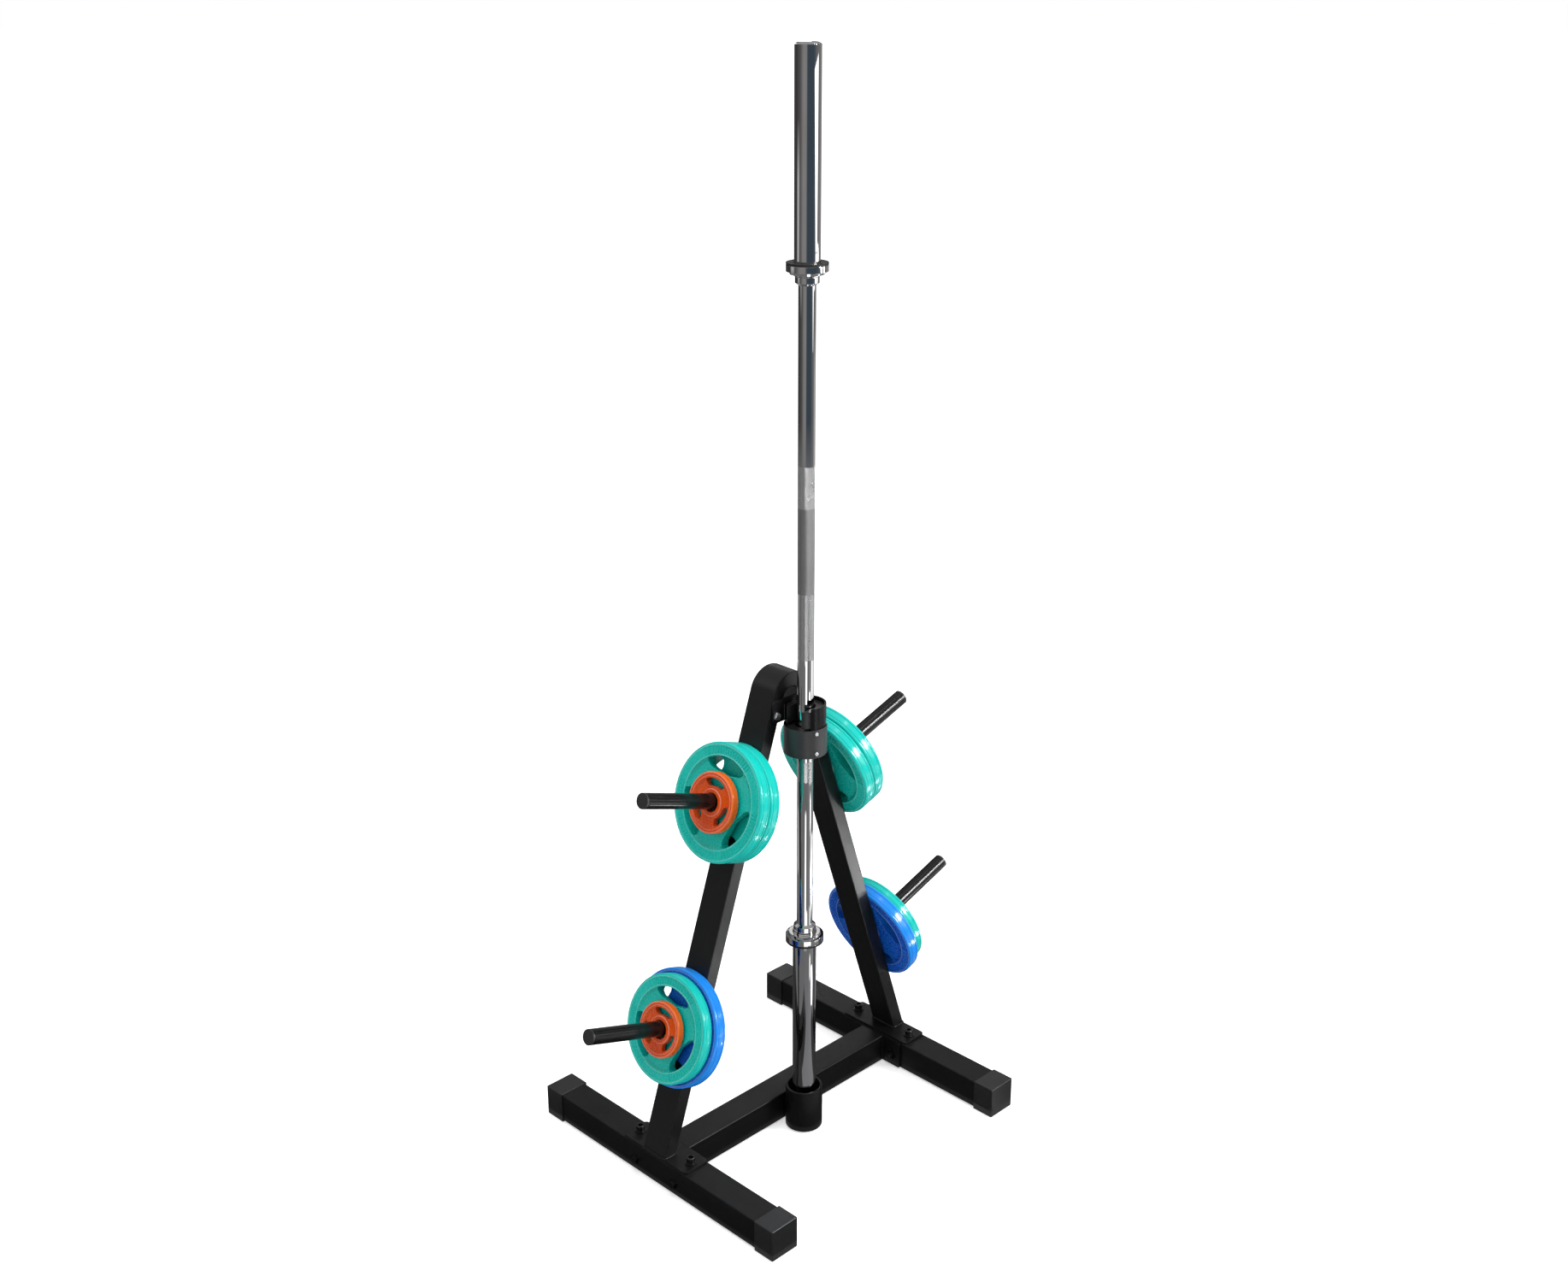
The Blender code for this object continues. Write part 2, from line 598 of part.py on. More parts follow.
def make_pegs_and_plates(looks):
    """The four pegs, their caps and the plates stacked on them."""
    large = plate_mesh("large_plate", LARGE_RADIUS, LARGE_THICK, LARGE_RECESS, LARGE_REACH, LARGE_SIDE)
    middle = plate_mesh("middle_plate", MIDDLE_RADIUS, MIDDLE_THICK, MIDDLE_RECESS, LARGE_REACH, LARGE_SIDE)
    small = plate_mesh("small_plate", SMALL_RADIUS, SMALL_THICK, SMALL_RECESS, SMALL_REACH, SMALL_SIDE)
    little = plate_mesh("little_plate", LITTLE_RADIUS, LITTLE_THICK, LITTLE_RECESS, SMALL_REACH, SMALL_SIDE)
    stacks = {
        "upper_left": ((large, "turquoise"), (large, "turquoise"), (small, "orange")),
        "lower_left": ((large, "blue"), (middle, "turquoise"), (little, "orange")),
        "upper_right": ((large, "turquoise"), (large, "turquoise")),
        "lower_right": ((large, "blue"), (middle, "turquoise")),
    }
    thickness = {large: LARGE_THICK, middle: MIDDLE_THICK, small: SMALL_THICK, little: LITTLE_THICK}
    words = ("inner", "outer", "front")
    tube, cap = peg_meshes()
    drop = (PLATE_BORE - PEG_D) / 2 - FIT
    for place, stack in stacks.items():
        side = -1 if place.endswith("left") else 1
        height = UPPER_PEG if place.startswith("upper") else LOWER_PEG
        root = add_empty(place + "_peg_axis", peg_frame(side, height))
        add_object(place + "_peg", tube, looks["powder_coat"], root)
        add_object(place + "_peg_cap", cap, looks["black_plastic"], root)
        reach = FIT
        for index, (mesh, look) in enumerate(stack):
            turn = Matrix.Rotation(INNER_TURN if index == 0 else 0.0, 4, "Z")
            seat = Matrix.Translation((-drop, 0, reach))
            add_object(f"{place}_{words[index]}_plate", mesh, looks[look], root, seat @ turn)
            reach += thickness[mesh] + FIT


def make_cup(looks):
    """The welded cup with the raised floor that the bar stands on."""
    outer = CUP_D / 2
    inner = outer - CUP_WALL
    floor_under = BAR_REST - CUP_FLOOR
    lip = CUP_TOP - CUP_LIP
    corner = CUP_EDGE * 0.3
    profile = [
        (0, BAR_REST), (inner, BAR_REST), (inner, lip), (inner + CUP_LIP, CUP_TOP), (outer - CUP_LIP, CUP_TOP),
        (outer, lip), (outer, CUP_BOTTOM + CUP_EDGE), (outer - corner, CUP_BOTTOM + corner),
        (outer - CUP_EDGE, CUP_BOTTOM), (inner, CUP_BOTTOM), (inner, floor_under), (0, floor_under)]
    add_object("bar_cup", turned_mesh("bar_cup", profile, BAR_FACETS, closed=False), looks["powder_coat"],
               matrix=Matrix.Translation((0, BAR_Y, 0)))


def neck_start():
    """Where the shaft's shoulder begins, from the bar's tip."""
    return SLEEVE_SHOWN + FLANGE_THICK + HUB_LENGTH + NECK_GAP


def sleeve_profiles():
    """Profiles of one bar end, heights measured inwards from the bar's tip."""
    tube_r, bore_r, shaft_r = SLEEVE_D / 2, SLEEVE_BORE / 2, SHAFT_D / 2
    flange_r = FLANGE_D / 2
    face = SLEEVE_SHOWN
    flange_end = face + FLANGE_THICK
    tube_end = flange_end + HUB_LENGTH
    ring_end = face + FLANGE_RING
    start = END_CAP + FIT
    plug_r = bore_r - FIT
    flange_bore = tube_r + FIT
    bush_start = GROOVE_INSET + GROOVE_WIDTH + FIT
    ring_inner = GROOVE_D / 2 + FIT
    seat = GROOVE_INSET + (GROOVE_WIDTH - RETAINER_WIDTH) / 2
    dome = [(0, 0), (tube_r * 0.60, END_CAP * 0.08), (tube_r * 0.82, END_CAP * 0.36),
            (tube_r - EDGE_BREAK / 2, END_CAP)]
    return {
        "sleeve": [(bore_r, start), (tube_r - EDGE_BREAK, start), (tube_r, start + EDGE_BREAK),
                   (tube_r, tube_end), (bore_r, tube_end)],
        "flange_ring": [(flange_bore, face), (flange_r - EDGE_BREAK, face), (flange_r, face + EDGE_BREAK),
                        (flange_r, ring_end), (flange_bore, ring_end)],
        "flange": [(flange_bore, ring_end + FIT), (flange_r, ring_end + FIT),
                   (flange_r, flange_end - FLANGE_BEVEL_RISE), (flange_r - FLANGE_BEVEL, flange_end),
                   (flange_bore, flange_end)],
        "end_cap": [*dome, (plug_r, END_CAP), (plug_r, END_CAP + END_PLUG), (0, END_CAP + END_PLUG)],
        "bush": [(shaft_r + FIT, bush_start), (plug_r, bush_start), (plug_r, tube_end - FIT),
                 (shaft_r + FIT, tube_end - FIT)],
        "retaining_ring": [(ring_inner, seat), (RETAINER_D / 2, seat), (RETAINER_D / 2, seat + RETAINER_WIDTH),
                           (ring_inner, seat + RETAINER_WIDTH)],
    }


def make_bar(looks):
    """The shaft with its shoulders and, on each end, the sleeve and all that turns with it."""
    axis = add_empty("bar_axis", Matrix.Translation((0, BAR_Y, BAR_BOTTOM)))
    radius, groove, shoulder = SHAFT_D / 2, GROOVE_D / 2, NECK_D / 2
    neck = neck_start()
    neck_end = neck + NECK_LENGTH
    groove_end = GROOVE_INSET + GROOVE_WIDTH
    low = [(0, SHAFT_INSET), (radius - EDGE_BREAK, SHAFT_INSET), (radius, SHAFT_INSET + EDGE_BREAK),
           (radius, GROOVE_INSET), (groove, GROOVE_INSET), (groove, groove_end), (radius, groove_end),
           (radius, neck), (shoulder - EDGE_BREAK, neck), (shoulder, neck + EDGE_BREAK),
           (shoulder, neck_end - NECK_BEVEL), (radius + EDGE_BREAK, neck_end), (radius, neck_end)]
    profile = [(r, BAR_LENGTH - z) for r, z in low] + low[::-1]
    shaft = turned_mesh("bar_shaft", profile, BAR_FACETS, closed=False)
    add_object("bar_shaft", shaft, looks["chrome"], axis)
    finishes = {"sleeve": "chrome", "flange_ring": "black_rubber", "flange": "chrome", "end_cap": "chrome",
                "bush": "bronze", "retaining_ring": "zinc"}
    profiles = sleeve_profiles()
    flip = Matrix.Translation((0, 0, BAR_LENGTH)) @ Matrix.Rotation(math.pi, 4, "X")
    for word, end in (("lower", Matrix.Identity(4)), ("upper", flip)):
        for piece, look in finishes.items():
            name = f"{word}_{piece}"
            mesh = turned_mesh(name, profiles[piece][::-1], BAR_FACETS, closed=piece != "end_cap")
            add_object(name, mesh, looks[look], axis, end)


def sector(name, radius, mouth, bottom, top, facing):
    """A wedge that cuts a mouth in a ring round the bar: its angle and the way it faces, from +X."""
    reach = radius * 1.5
    points = [(0.0, 0.0)]
    steps = 4
    for step in range(steps + 1):
        angle = facing - mouth / 2 + step * mouth / steps
        points.append((reach * math.cos(angle), reach * math.sin(angle)))
    mesh = outline_mesh(name, [points], top - bottom)
    return add_object(name, mesh, matrix=Matrix.Translation((0, BAR_Y, (top + bottom) / 2)))


def ring_mesh(name, outer, inner, bottom, top, facets):
    """A plain ring between two heights."""
    return turned_mesh(name, [(inner, top), (outer, top), (outer, bottom), (inner, bottom)], facets)


def screw_way(angle):
    """A direction round the bar, given from -Y towards -X."""
    return Vector((-math.sin(angle), -math.cos(angle), 0))


def make_holder(looks):
    """The slotted tube on the A-frame, with its bolted plate and the lock that turns round it."""
    outer = HOLDER_D / 2
    inner = outer - HOLDER_WALL
    at_bar = Matrix.Translation((0, BAR_Y, 0))
    margin = 0.01
    tube_mesh = ring_mesh("holder_tube", outer, inner, HOLDER_BOTTOM, HOLDER_TOP, HOLDER_FACETS)
    tube = add_object("holder_tube", tube_mesh, looks["powder_coat"], matrix=at_bar)
    low, high = HOLDER_BOTTOM - margin, HOLDER_TOP + margin
    cut(tube, sector("holder_mouth", outer, HOLDER_MOUTH, low, high, math.pi))
    mouth_edge = math.pi / 2 - HOLDER_MOUTH / 2
    far_edge = math.pi / 2 + HOLDER_MOUTH / 2
    notch_height = SCREW_D + 2 * FIT
    half_screw = math.asin((SCREW_D / 2 + FIT) / inner)
    spans = ((SCREW_ANGLE - half_screw, mouth_edge + half_screw),
             (far_edge - half_screw, SCREW_ANGLE + math.pi + half_screw))
    for height in (SCREW_LOW, SCREW_HIGH):
        for start, end in spans:
            way = screw_way((start + end) / 2)
            length = 2 * outer * math.sin((end - start) / 2)
            sag = outer * (1 - math.cos((end - start) / 2))
            depth = HOLDER_WALL * 2 + sag
            place = Vector((0, BAR_Y, height)) + way * (outer + HOLDER_WALL / 2 - depth / 2)
            notch = box_mesh("screw_notch", (length, depth, notch_height))
            turn = Matrix.Rotation(math.atan2(way.y, way.x) - math.pi / 2, 4, "Z")
            cut(tube, add_object("screw_notch", notch, matrix=Matrix.Translation(place) @ turn))

    size = (BRACKET_WIDTH, BRACKET, BRACKET_TOP - BRACKET_BOTTOM)
    corner_box = box_mesh("holder_bracket", (size[0], size[2], size[1]), edge=BRACKET_CORNER, upright=True)
    stand_up = Matrix.Translation((0, BRACKET_FACE + BRACKET / 2, (BRACKET_TOP + BRACKET_BOTTOM) / 2))
    stand_up = stand_up @ Matrix.Rotation(math.pi / 2, 4, "X")
    bracket = add_object("holder_bracket", corner_box, looks["powder_coat"], matrix=stand_up)
    seat_bottom = BRACKET_BOTTOM - margin
    seat_top = HOLDER_TOP + FIT
    seat = rod_mesh("tube_seat", HOLDER_D + 2 * FIT, seat_top - seat_bottom, HOLDER_FACETS,
                    centre=(0, BAR_Y, (seat_top + seat_bottom) / 2))
    cut(bracket, add_object("tube_seat", seat))
    head_middle = (0, 0, BRACKET_HEAD / 2)
    head = rod_mesh("bracket_head", BRACKET_HEAD_D, BRACKET_HEAD, BOLT_FACETS, centre=head_middle)
    bolt = bolt_mesh("bracket_bolt", head, BRACKET_BOLT_D - 2 * FIT, BRACKET_BOLT_REACH)
    for x, word in ((-BRACKET_BOLT_X, "left"), (BRACKET_BOLT_X, "right")):
        hole = rod_mesh("bracket_hole", BRACKET_BOLT_D + 2 * FIT, LEG_WIDTH, BOLT_FACETS, "Y",
                        centre=(x, BRACKET_FACE, BRACKET_BOLT_Z))
        cut(bracket, add_object("bracket_hole", hole))
        add_object(word + "_bracket_bolt", bolt, looks["zinc"],
                   matrix=along((0, -1, 0), (x, BRACKET_FACE - FIT, BRACKET_BOLT_Z)))

    collar_inner = outer + FIT
    collar_outer = collar_inner + COLLAR_WALL
    mesh = ring_mesh("lock_collar", collar_outer, collar_inner, COLLAR_BOTTOM, COLLAR_TOP, HOLDER_FACETS)
    collar = add_object("lock_collar", mesh, looks["black_plastic"], matrix=at_bar)
    low, high = COLLAR_BOTTOM - margin, COLLAR_TOP + margin
    cut(collar, sector("collar_mouth", collar_outer, COLLAR_MOUTH, low, high, 0))
    rotor_outer = inner - FIT
    rotor_mesh = ring_mesh("lock_rotor", rotor_outer, ROTOR_BORE / 2, HOLDER_BOTTOM, ROTOR_TOP, HOLDER_FACETS)
    rotor = add_object("lock_rotor", rotor_mesh, looks["black_nylon"], matrix=at_bar)
    slot_height = ROTOR_TOP - HOLDER_BOTTOM + 2 * margin
    slot = box_mesh("rotor_slot", (HOLDER_D, ROTOR_BORE, slot_height),
                    (HOLDER_D / 2, BAR_Y, (ROTOR_TOP + HOLDER_BOTTOM) / 2))
    cut(rotor, add_object("rotor_slot", slot))
    shank = collar_outer + FIT - rotor_outer + SCREW_DEPTH
    head = rod_mesh("collar_screw_head", SCREW_HEAD_D, SCREW_HEAD, BOLT_FACETS, centre=(0, 0, SCREW_HEAD / 2))
    screw = bolt_mesh("collar_screw", head, SCREW_D - 2 * FIT, shank)
    way = screw_way(SCREW_ANGLE)
    bore_bottom = rotor_outer - SCREW_DEPTH - SCREW_TIP
    for height, word in ((SCREW_LOW, "lower"), (SCREW_HIGH, "upper")):
        middle = Vector((0, BAR_Y, height))
        bore = rod_mesh("screw_bore", SCREW_D, shank * 2, BOLT_FACETS)
        hole = add_object("screw_bore", bore, matrix=along(way, middle + way * (bore_bottom + shank)))
        cut(collar, hole)
        cut(rotor, hole)
        seat = along(way, middle + way * (collar_outer + FIT))
        add_object(word + "_collar_screw", screw, looks["zinc"], matrix=seat)


def main():
    """Builds the whole rack."""
    global rack, cutters
    for item in list(bpy.data.objects):
        bpy.data.objects.remove(item)
    rack = new_collection("weight_plate_rack")
    cutters = new_collection("cutters")
    looks = make_materials()
    make_feet(looks)
    make_crossbar(looks)
    make_base_plates(looks)
    make_a_frame(looks)
    make_pegs_and_plates(looks)
    make_cup(looks)
    make_bar(looks)
    make_holder(looks)


main()
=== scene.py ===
from math import asin, cos, pi, radians, sin, sqrt, tan, tau

import bmesh
import bpy
from mathutils import Matrix, Vector


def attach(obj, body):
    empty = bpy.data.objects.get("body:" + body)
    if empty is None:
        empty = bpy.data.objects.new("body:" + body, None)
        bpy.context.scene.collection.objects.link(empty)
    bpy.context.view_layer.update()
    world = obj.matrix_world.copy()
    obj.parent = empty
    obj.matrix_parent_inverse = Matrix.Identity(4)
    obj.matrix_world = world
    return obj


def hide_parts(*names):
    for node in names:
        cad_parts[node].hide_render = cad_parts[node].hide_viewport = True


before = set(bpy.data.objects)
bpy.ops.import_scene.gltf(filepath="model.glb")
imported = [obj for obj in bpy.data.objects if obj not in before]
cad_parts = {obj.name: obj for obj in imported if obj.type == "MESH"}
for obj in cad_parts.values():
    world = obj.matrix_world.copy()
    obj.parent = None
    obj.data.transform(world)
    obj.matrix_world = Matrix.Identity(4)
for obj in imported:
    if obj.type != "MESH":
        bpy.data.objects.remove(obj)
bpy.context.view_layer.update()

FIT = 0.0003
AS_IS = Matrix.Identity(4)
SIDES = ((-1, "left"), (1, "right"))
ENDS = ((-1, "front"), (1, "back"))

# Feet, crossbar and their caps
TUBE = 0.0650
TUBE_WALL = 0.0025
TUBE_RADIUS = 0.0028
TUBE_EASE = 0.0006
FOOT_LENGTH = 0.7085
FOOT_X = 0.3396
CAP_WALL = 0.00235
CAP_DEPTH = 0.0510
CAP_EDGE = 0.0020
FOOT_BOTTOM = CAP_WALL + FIT
FOOT_TOP = FOOT_BOTTOM + TUBE
FOOT_MIDDLE = FOOT_BOTTOM + TUBE / 2
FOOT_FACE = FOOT_X - TUBE / 2

# Bolted joints
JOINT_PLATE = 0.0050
JOINT_PLATE_WIDTH = 0.1680
JOINT_PLATE_HEIGHT = 0.0630
JOINT_PLATE_CORNER = 0.0030
JOINT_BOLT_Y = 0.0600
JOINT_BOLT_Z = 0.0280
JOINT_HEX = 0.0170
JOINT_HEX_CORNER = 0.0006
JOINT_HEAD = 0.0064
JOINT_NUT = 0.0080
JOINT_THREAD_RADIUS = 0.0048
JOINT_THREAD_END = 0.0110
JOINT_WASHER_RADIUS = 0.0096
JOINT_WASHER = 0.0008
JOINT_WELD_HALF = 0.0280
BASE_PLATE = 0.0050
BASE_PLATE_WIDTH = 0.0660
BASE_PLATE_LENGTH = 0.1940
BASE_PLATE_CORNER = 0.0080
BASE_BOLT_Y = BASE_PLATE_LENGTH / 2 - 0.0180
BASE_BOTTOM = FOOT_TOP + FIT
BASE_TOP = BASE_BOTTOM + BASE_PLATE

# Legs
LEAN = radians(18.75)
LEG_DEPTH = 0.0320
LEG_WIDTH = 0.0670
LEG_EDGE = 0.0028
LEG_BOTTOM = BASE_TOP + FIT
LEG_OUT = FOOT_X + TUBE / 2
BEND_RADIUS = 0.0540
BEND_Z = LEG_BOTTOM + (LEG_OUT * cos(LEAN) - BEND_RADIUS) / sin(LEAN)

# Pegs and plates
PEG_D = 0.0322
PEG_WALL = 0.0025
PEG_LENGTH = 0.2640
PEG_CAP = 0.0050
PEG_CAP_BACK = 0.0006
UPPER_PEG = 0.7660
LOWER_PEG = 0.2820
PLATE_BORE = 0.0380
INNER_TURN = radians(60)

# Cup, bar and holder
CUP_D = 0.0804
CUP_WALL = 0.0057
CUP_BOTTOM = 0.0030
CUP_TOP = 0.1000
CUP_SEAT = 0.0050
BAR_Y = -(TUBE / 2 + FIT + CUP_D / 2)
BAR_REST = 0.0690
BAR_BOTTOM = BAR_REST + FIT
BAR_LENGTH = 2.2000
SHAFT_D = 0.0340
SHOULDER_RADIUS = 0.0233
SHOULDER_LENGTH = 0.0155
SLEEVE_D = 0.0500
SLEEVE_BORE = 0.0390
SLEEVE_SHOWN = 0.3885
FLANGE_D = 0.0804
FLANGE_RING = 0.0040
FLANGE_THICK = 0.0224
HUB = 0.0031
END_CAP_DEPTH = 0.0120
END_CAP_PLUG = 0.0190
END_CAP_DOME = 0.0040
HOLDER_D = 0.0845
HOLDER_WALL = 0.0035
HOLDER_BOTTOM = 0.8965
HOLDER_TOP = 1.0010
HOLDER_TURN = radians(120)
# Middle and width, round the holder tube, of the notches that the lock's screws run in
NOTCHES = ((radians(-113), radians(23)), (radians(96), radians(52)))
NOTCH_HALF = 0.0028
NOTCH_REACH = 0.0300
NOTCH_INSET = 0.0040
BRACKET_PLATE = 0.0050
BRACKET_WIDTH = 0.1140
BRACKET_LOW, BRACKET_HIGH = 0.9590, 1.0065
BRACKET_CORNER = 0.0080
BRACKET_HEX = 0.0130
BRACKET_HEX_CORNER = 0.0005
BRACKET_HEAD = 0.0060
BRACKET_WASHER_RADIUS = 0.0075
BRACKET_WASHER = 0.0013
BRACKET_FACE = -LEG_WIDTH / 2 - FIT - BRACKET_PLATE
BRACKET_BOLT = (0.0480, 0.9745)
BAND_THICK = 0.0019
BAND_LOW, BAND_HIGH = 0.8946, 0.9555
BAND_GAP = radians(45)
INSERT_BORE = 0.0205
INSERT_TOP = 0.9535
LINER_LOW, LINER_HIGH = 0.9575, 0.9940
SCREW_HEIGHTS = ((0.9043, "lower"), (0.9476, "upper"))
SCREW_TURN = radians(15.7)
SCREW_PROFILE = [(0, 0.0026), (0.0030, 0.0026), (0.0045, 0.0014), (0.0045, 0), (0, 0)]
SCREW_SOCKET = 0.0025
SCREW_SOCKET_BOTTOM = 0.0012

# Weld beads
BEAD_FACETS = 8
BEAD_PITCH = 0.0035

# How finely the largest round things are cut
FINE = 96

rest = bpy.context.scene.collection


# Meshes

def add_item(name, data):
    """A new object in the scene."""
    item = bpy.data.objects.new(name, data)
    rest.objects.link(item)
    return item


def smoothed(mesh, degrees=40):
    """The mesh shaded smooth, and sharp where its faces meet at a real edge."""
    mesh.shade_smooth()
    mesh.set_sharp_from_angle(angle=radians(degrees))
    return mesh


def mesh_from(name, bm, degrees=40):
    """A smooth mesh from a bmesh, which is freed."""
    mesh = bpy.data.meshes.new(name)
    bm.to_mesh(mesh)
    bm.free()
    return smoothed(mesh, degrees)


def finish_mesh(name, bm, degrees=40):
    """A smooth mesh from a bmesh, its faces turned outwards first."""
    bmesh.ops.recalc_face_normals(bm, faces=bm.faces)
    return mesh_from(name, bm, degrees)


def evaluated(item):
    """A new mesh of an object with its modifiers applied."""
    bpy.context.view_layer.update()
    ready = item.evaluated_get(bpy.context.evaluated_depsgraph_get())
    return bpy.data.meshes.new_from_object(ready)


def arc(radius, start, end, steps):
    """Points on a circle round the centre, from one angle to another."""
    angles = [start + (end - start) * step / steps for step in range(steps + 1)]
    return [(radius * cos(a), radius * sin(a)) for a in angles]


def fillet(points, radius, steps=3, closed=False):
    """A polyline with each of its corners rounded."""
    result = []
    count = len(points)
    for index, point in enumerate(points):
        if not closed and index in (0, count - 1):
            result.append(tuple(point))
            continue
        here = Vector(point)
        back = Vector(points[index - 1]) - here
        ahead = Vector(points[(index + 1) % count]) - here
        if back.length < 1e-9 or ahead.length < 1e-9:
            continue
        turn = pi - back.angle(ahead)
        if turn < radians(8):
            result.append(tuple(point))
            continue
        reach = min(radius * tan(turn / 2), back.length * 0.45, ahead.length * 0.45)
        start = here + back.normalized() * reach
        end = here + ahead.normalized() * reach
        for step in range(steps + 1):
            t = step / steps
            result.append(tuple((1 - t) ** 2 * start + 2 * t * (1 - t) * here + t * t * end))
    return result


def round_ring(bm, radius, height, facets):
    """A ring of vertices round Z, or one vertex many times over where it has no radius."""
    if radius < 1e-6:
        return [bm.verts.new((0, 0, height))] * facets
    return [bm.verts.new((x, y, height)) for x, y in arc(radius, 0, tau, facets)[:-1]]


def skin_rings(bm, rings, close_path=False):
    """Faces between rings of vertices that follow one another."""
    pairs = list(zip(rings, rings[1:]))
    if close_path:
        pairs.append((rings[-1], rings[0]))
    for first, second in pairs:
        for i in range(len(first)):
            j = (i + 1) % len(first)
            corners = list(dict.fromkeys((first[i], first[j], second[j], second[i])))
            if len(corners) > 2:
                bm.faces.new(corners)


def lathe(name, profile, facets=64, closed=True, round_by=0.0004):
    """A profile of (radius, height) turned round Z, its corners rounded."""
    bm = bmesh.new()
    rings = [round_ring(bm, *point, facets) for point in fillet(profile, round_by, 2, closed)]
    skin_rings(bm, rings, close_path=closed)
    return finish_mesh(name, bm)


def disc(name, radius, low, high, facets, round_by=0.0004):
    """A round plate between two heights."""
    return lathe(name, [(0, high), (radius, high), (radius, low), (0, low)], facets, False, round_by)


def rounded_rectangle(width, depth, radius, steps=5):
    """Outline of a rectangle with round corners, round its centre."""
    points = []
    for quarter in range(4):
        x = (width / 2 - radius) * (1 if quarter in (0, 3) else -1)
        y = (depth / 2 - radius) * (1 if quarter in (0, 1) else -1)
        start = quarter * pi / 2
        points += [(x + u, y + v) for u, v in arc(radius, start, start + pi / 2, steps)]
    return points


def hex_points(flats):
    """Corners of a hexagon of the given width across its flats."""
    radius = flats / 2 / cos(pi / 6)
    return [(radius * cos(k * pi / 3), radius * sin(k * pi / 3)) for k in range(6)]


def slab(name, outline, low, high, edge=0.0005):
    """An outline in XY made solid between two heights, with its rims eased."""
    bm = bmesh.new()
    bottom = bm.faces.new([bm.verts.new((x, y, low)) for x, y in outline])
    made = bmesh.ops.extrude_face_region(bm, geom=[bottom])
    top = [v for v in made["geom"] if isinstance(v, bmesh.types.BMVert)]
    bmesh.ops.translate(bm, vec=(0, 0, high - low), verts=top)
    bmesh.ops.recalc_face_normals(bm, faces=bm.faces)
    if edge:
        rims = [e for e in bm.edges if abs(e.verts[0].co.z - e.verts[1].co.z) < 1e-7]
        bmesh.ops.bevel(bm, geom=rims, offset=edge, segments=2, profile=0.6, affect="EDGES",
                        clamp_overlap=True)
    return finish_mesh(name, bm)


def square_tube(name, size, length, radius, wall, closed=False):
    """A square tube along Z, open at both ends or closed at its lower one."""
    outer = rounded_rectangle(size, size, radius)
    inner = rounded_rectangle(size - 2 * wall, size - 2 * wall, max(radius - wall, 0.0005))
    half = length / 2
    ease = radius if closed else TUBE_EASE
    # height of each ring from the lower end to the upper one, and how far it is drawn in
    levels = [(-half + ease - x, ease - y) for x, y in arc(ease, 0, pi / 2, 4)]
    levels += [(half - TUBE_EASE + y, TUBE_EASE - x) for x, y in arc(TUBE_EASE, 0, pi / 2, 2)]
    bm = bmesh.new()
    rings = []
    for z, drawn in levels:
        scale = 1 - 2 * drawn / size
        rings.append([bm.verts.new((x * scale, y * scale, z)) for x, y in outer])
    for z in (half, -half + (wall if closed else 0)):
        rings.append([bm.verts.new((x, y, z)) for x, y in inner])
    skin_rings(bm, rings, close_path=not closed)
    if closed:
        bm.faces.new(rings[0])
        bm.faces.new(rings[-1])
    return finish_mesh(name, bm, 50)


def sweep(name, path, outline):
    """An outline carried along a path, closed at both ends: each stop of the path places a point (u, v)."""
    bm = bmesh.new()
    rings = [[bm.verts.new(place(u, v)) for u, v in outline] for place in path]
    skin_rings(bm, rings)
    bm.faces.new(rings[0])
    bm.faces.new(rings[-1])
    return finish_mesh(name, bm)


def untwisted(first, second):
    """The second ring, begun at the vertex that suits the first ring best."""
    count = len(first)

    def gap(shift):
        """How far apart the two rings lie when the second is shifted."""
        return sum((first[i].co - second[(i + shift) % count].co).length for i in range(count))

    shift = min(range(count), key=gap)
    return second[shift:] + second[:shift]


def bead(name, points, size, closed=True):
    """A weld bead along a line of points: a small rippled fillet."""
    dense = []
    count = len(points)
    for index in range(count if closed else count - 1):
        a, b = Vector(points[index]), Vector(points[(index + 1) % count])
        steps = max(1, int((b - a).length / (BEAD_PITCH / 3)))
        dense += [a.lerp(b, step / steps) for step in range(steps)]
    if not closed:
        dense.append(Vector(points[-1]))
    bm = bmesh.new()
    rings = []
    total = len(dense)
    for index, point in enumerate(dense):
        after = dense[(index + 1) % total] if closed else dense[min(index + 1, total - 1)]
        before = dense[index - 1] if closed else dense[max(index - 1, 0)]
        ahead = (after - before).normalized()
        side = ahead.orthogonal().normalized()
        other = ahead.cross(side)
        ripple = 1 + 0.16 * abs(sin(index * pi / 3)) + 0.07 * sin(index * 0.61)
        round_it = arc(size * ripple, 0, tau, BEAD_FACETS)[:-1]
        rings.append([bm.verts.new(point + side * x + other * y) for x, y in round_it])
    for first, second in zip(rings, rings[1:]):
        second[:] = untwisted(first, second)
    skin_rings(bm, rings)
    if closed:
        skin_rings(bm, [rings[-1], untwisted(rings[-1], rings[0])])
    return finish_mesh(name, bm, 60)


def joined(name, parts, degrees=40):
    """Several meshes, each with its matrix, in one mesh."""
    bm = bmesh.new()
    for mesh, matrix in parts:
        piece = mesh.copy()
        piece.transform(matrix)
        bm.from_mesh(piece)
        bpy.data.meshes.remove(piece)
    return mesh_from(name, bm, degrees)


